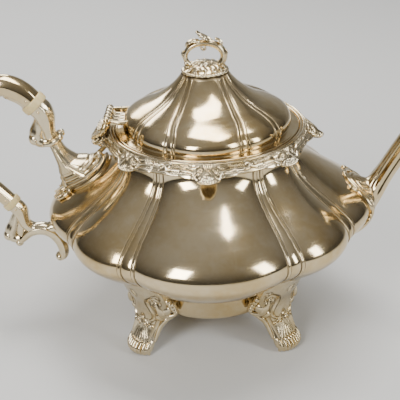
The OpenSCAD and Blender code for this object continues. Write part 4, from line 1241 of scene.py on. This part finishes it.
for make in (make_bowl, make_pan, make_bezel, make_border, make_lid, make_lid_bezel, make_finial_base,
             make_finial_loop, make_finial_fixings, make_body_leaf, make_lid_leaf, make_pin):
    make()
insulator("handle_upper_ring", UPPER_AT, UPPER_DIR, 8.4, 5.6, 5.8, "handle_upper_insulator")
insulator("handle_lower_ring", LOWER_AT, LOWER_DIR, 6.3, 4.6, 3.9, "handle_lower_insulator")
rivets("handle_upper_rivets", UPPER_AT, UPPER_DIR, 5.6, 0.9, 7.2, "handle_upper_pins")
rivets("handle_lower_rivets", LOWER_AT, LOWER_DIR, 4.6, 0.7, 5.3, "handle_lower_pins")
for make in (make_grip, make_upper_socket, make_lower_socket, make_spout, make_strainer):
    make()
for foot, angle in (("foot_front_left", 225), ("foot_front_right", 315), ("foot_back_left", 135),
                    ("foot_back_right", 45)):
    make_foot(foot, angle)


# ---- stage, light and camera, in metres --------------------------------------------------

def make_stage():
    """A sheet of pale paper that curves up behind the pot."""
    half_width, front, back, bend, top = 3.2, -2.4, 1.5, 0.5, 2.6
    line = [(front, 0.0), *[(back + bend * math.sin(t), bend - bend * math.cos(t))
                            for t in np.radians(np.linspace(0, 90, 13))], (back + bend, top)]
    verts = [(x, y, z) for y, z in line for x in (-half_width, half_width)]
    faces = [(2 * k, 2 * k + 1, 2 * k + 3, 2 * k + 2) for k in range(len(line) - 1)]
    data = bpy.data.meshes.new("floor")
    data.from_pydata(verts, [], faces)
    data.polygons.foreach_set("use_smooth", [True] * len(data.polygons))
    look, tree, shader, _ = nodes_of("pale_paper")
    plug(tree, shader.inputs["Base Color"], (0.60, 0.60, 0.59))
    plug(tree, shader.inputs["Roughness"], 0.75)
    data.materials.append(look)
    floor = bpy.data.objects.new("floor", data)
    bpy.context.scene.collection.objects.link(floor)


def lamp(name, at, aim_z, size, watts, color=(1, 1, 1)):
    """An area lamp aimed at a height on the middle line of the pot."""
    data = bpy.data.lights.new(name, "AREA")
    data.shape = "RECTANGLE"
    data.size, data.size_y = size
    data.energy = watts
    data.color = color
    thing = bpy.data.objects.new(name, data)
    thing.location = at
    thing.rotation_euler = (Vector((0, 0, aim_z)) - Vector(at)).to_track_quat("-Z", "Y").to_euler()
    bpy.context.scene.collection.objects.link(thing)


def make_light():
    """A sky that brightens upwards, and four area lamps."""
    world = bpy.data.worlds.new("studio")
    bpy.context.scene.world = world
    world.use_nodes = True
    tree = world.node_tree
    tree.nodes.clear()
    out, sky, place, split, ramp = [tree.nodes.new("ShaderNode" + kind) for kind in
                                    ("OutputWorld", "Background", "TexCoord", "SeparateXYZ", "ValToRGB")]
    for one, two in ((place.outputs["Generated"], split.inputs[0]), (split.outputs[2], ramp.inputs[0]),
                     (ramp.outputs[0], sky.inputs[0]), (sky.outputs[0], out.inputs[0])):
        tree.links.new(one, two)
    stops = ramp.color_ramp.elements
    stops[0].position, stops[0].color = 0.0, (0.07, 0.07, 0.072, 1)
    stops[1].position, stops[1].color = 1.0, (0.55, 0.54, 0.52, 1)
    for at, c in ((0.2, (0.13, 0.125, 0.12, 1)), (0.5, (0.26, 0.25, 0.24, 1))):
        stops.new(at).color = c
    sky.inputs[1].default_value = 0.8
    lamp("key", (-0.75, -1.15, 0.95), 0.09, (0.5, 0.75), 20, (1, 0.99, 0.97))
    lamp("fill", (1.15, -0.7, 0.7), 0.09, (0.4, 0.8), 12, (0.95, 0.98, 1))
    lamp("top", (0.1, 0.15, 1.35), 0.1, (0.9, 0.5), 16, (1, 0.985, 0.96))
    lamp("rim", (-0.5, 1.1, 0.8), 0.12, (0.7, 0.4), 8)


def make_camera():
    """The photo's view: from the side and above, and a little rolled."""
    turn, lift, roll = np.radians([1.1, 27.0, 2.3])
    away, aim = 0.584, Vector((-0.00636, 0, 0.085))
    back = Vector((math.sin(turn) * math.cos(lift), -math.cos(turn) * math.cos(lift), math.sin(lift)))
    right = (-back).cross(Vector((0, 0, 1))).normalized()
    up = right.cross(-back)
    right, up = right * math.cos(roll) - up * math.sin(roll), up * math.cos(roll) + right * math.sin(roll)
    data = bpy.data.cameras.new("view")
    data.sensor_width = 36
    data.lens = 78.84
    data.clip_start, data.clip_end = 0.01, 20
    eye = bpy.data.objects.new("view", data)
    eye.matrix_world = Matrix((*[(right[k], up[k], back[k], aim[k] + back[k] * away) for k in range(3)],
                               (0, 0, 0, 1)))
    bpy.context.scene.collection.objects.link(eye)
    bpy.context.scene.camera = eye


make_stage()
make_light()
make_camera()
bpy.context.scene.view_settings.view_transform = "AgX"
bpy.context.scene.view_settings.look = "AgX - Base Contrast"
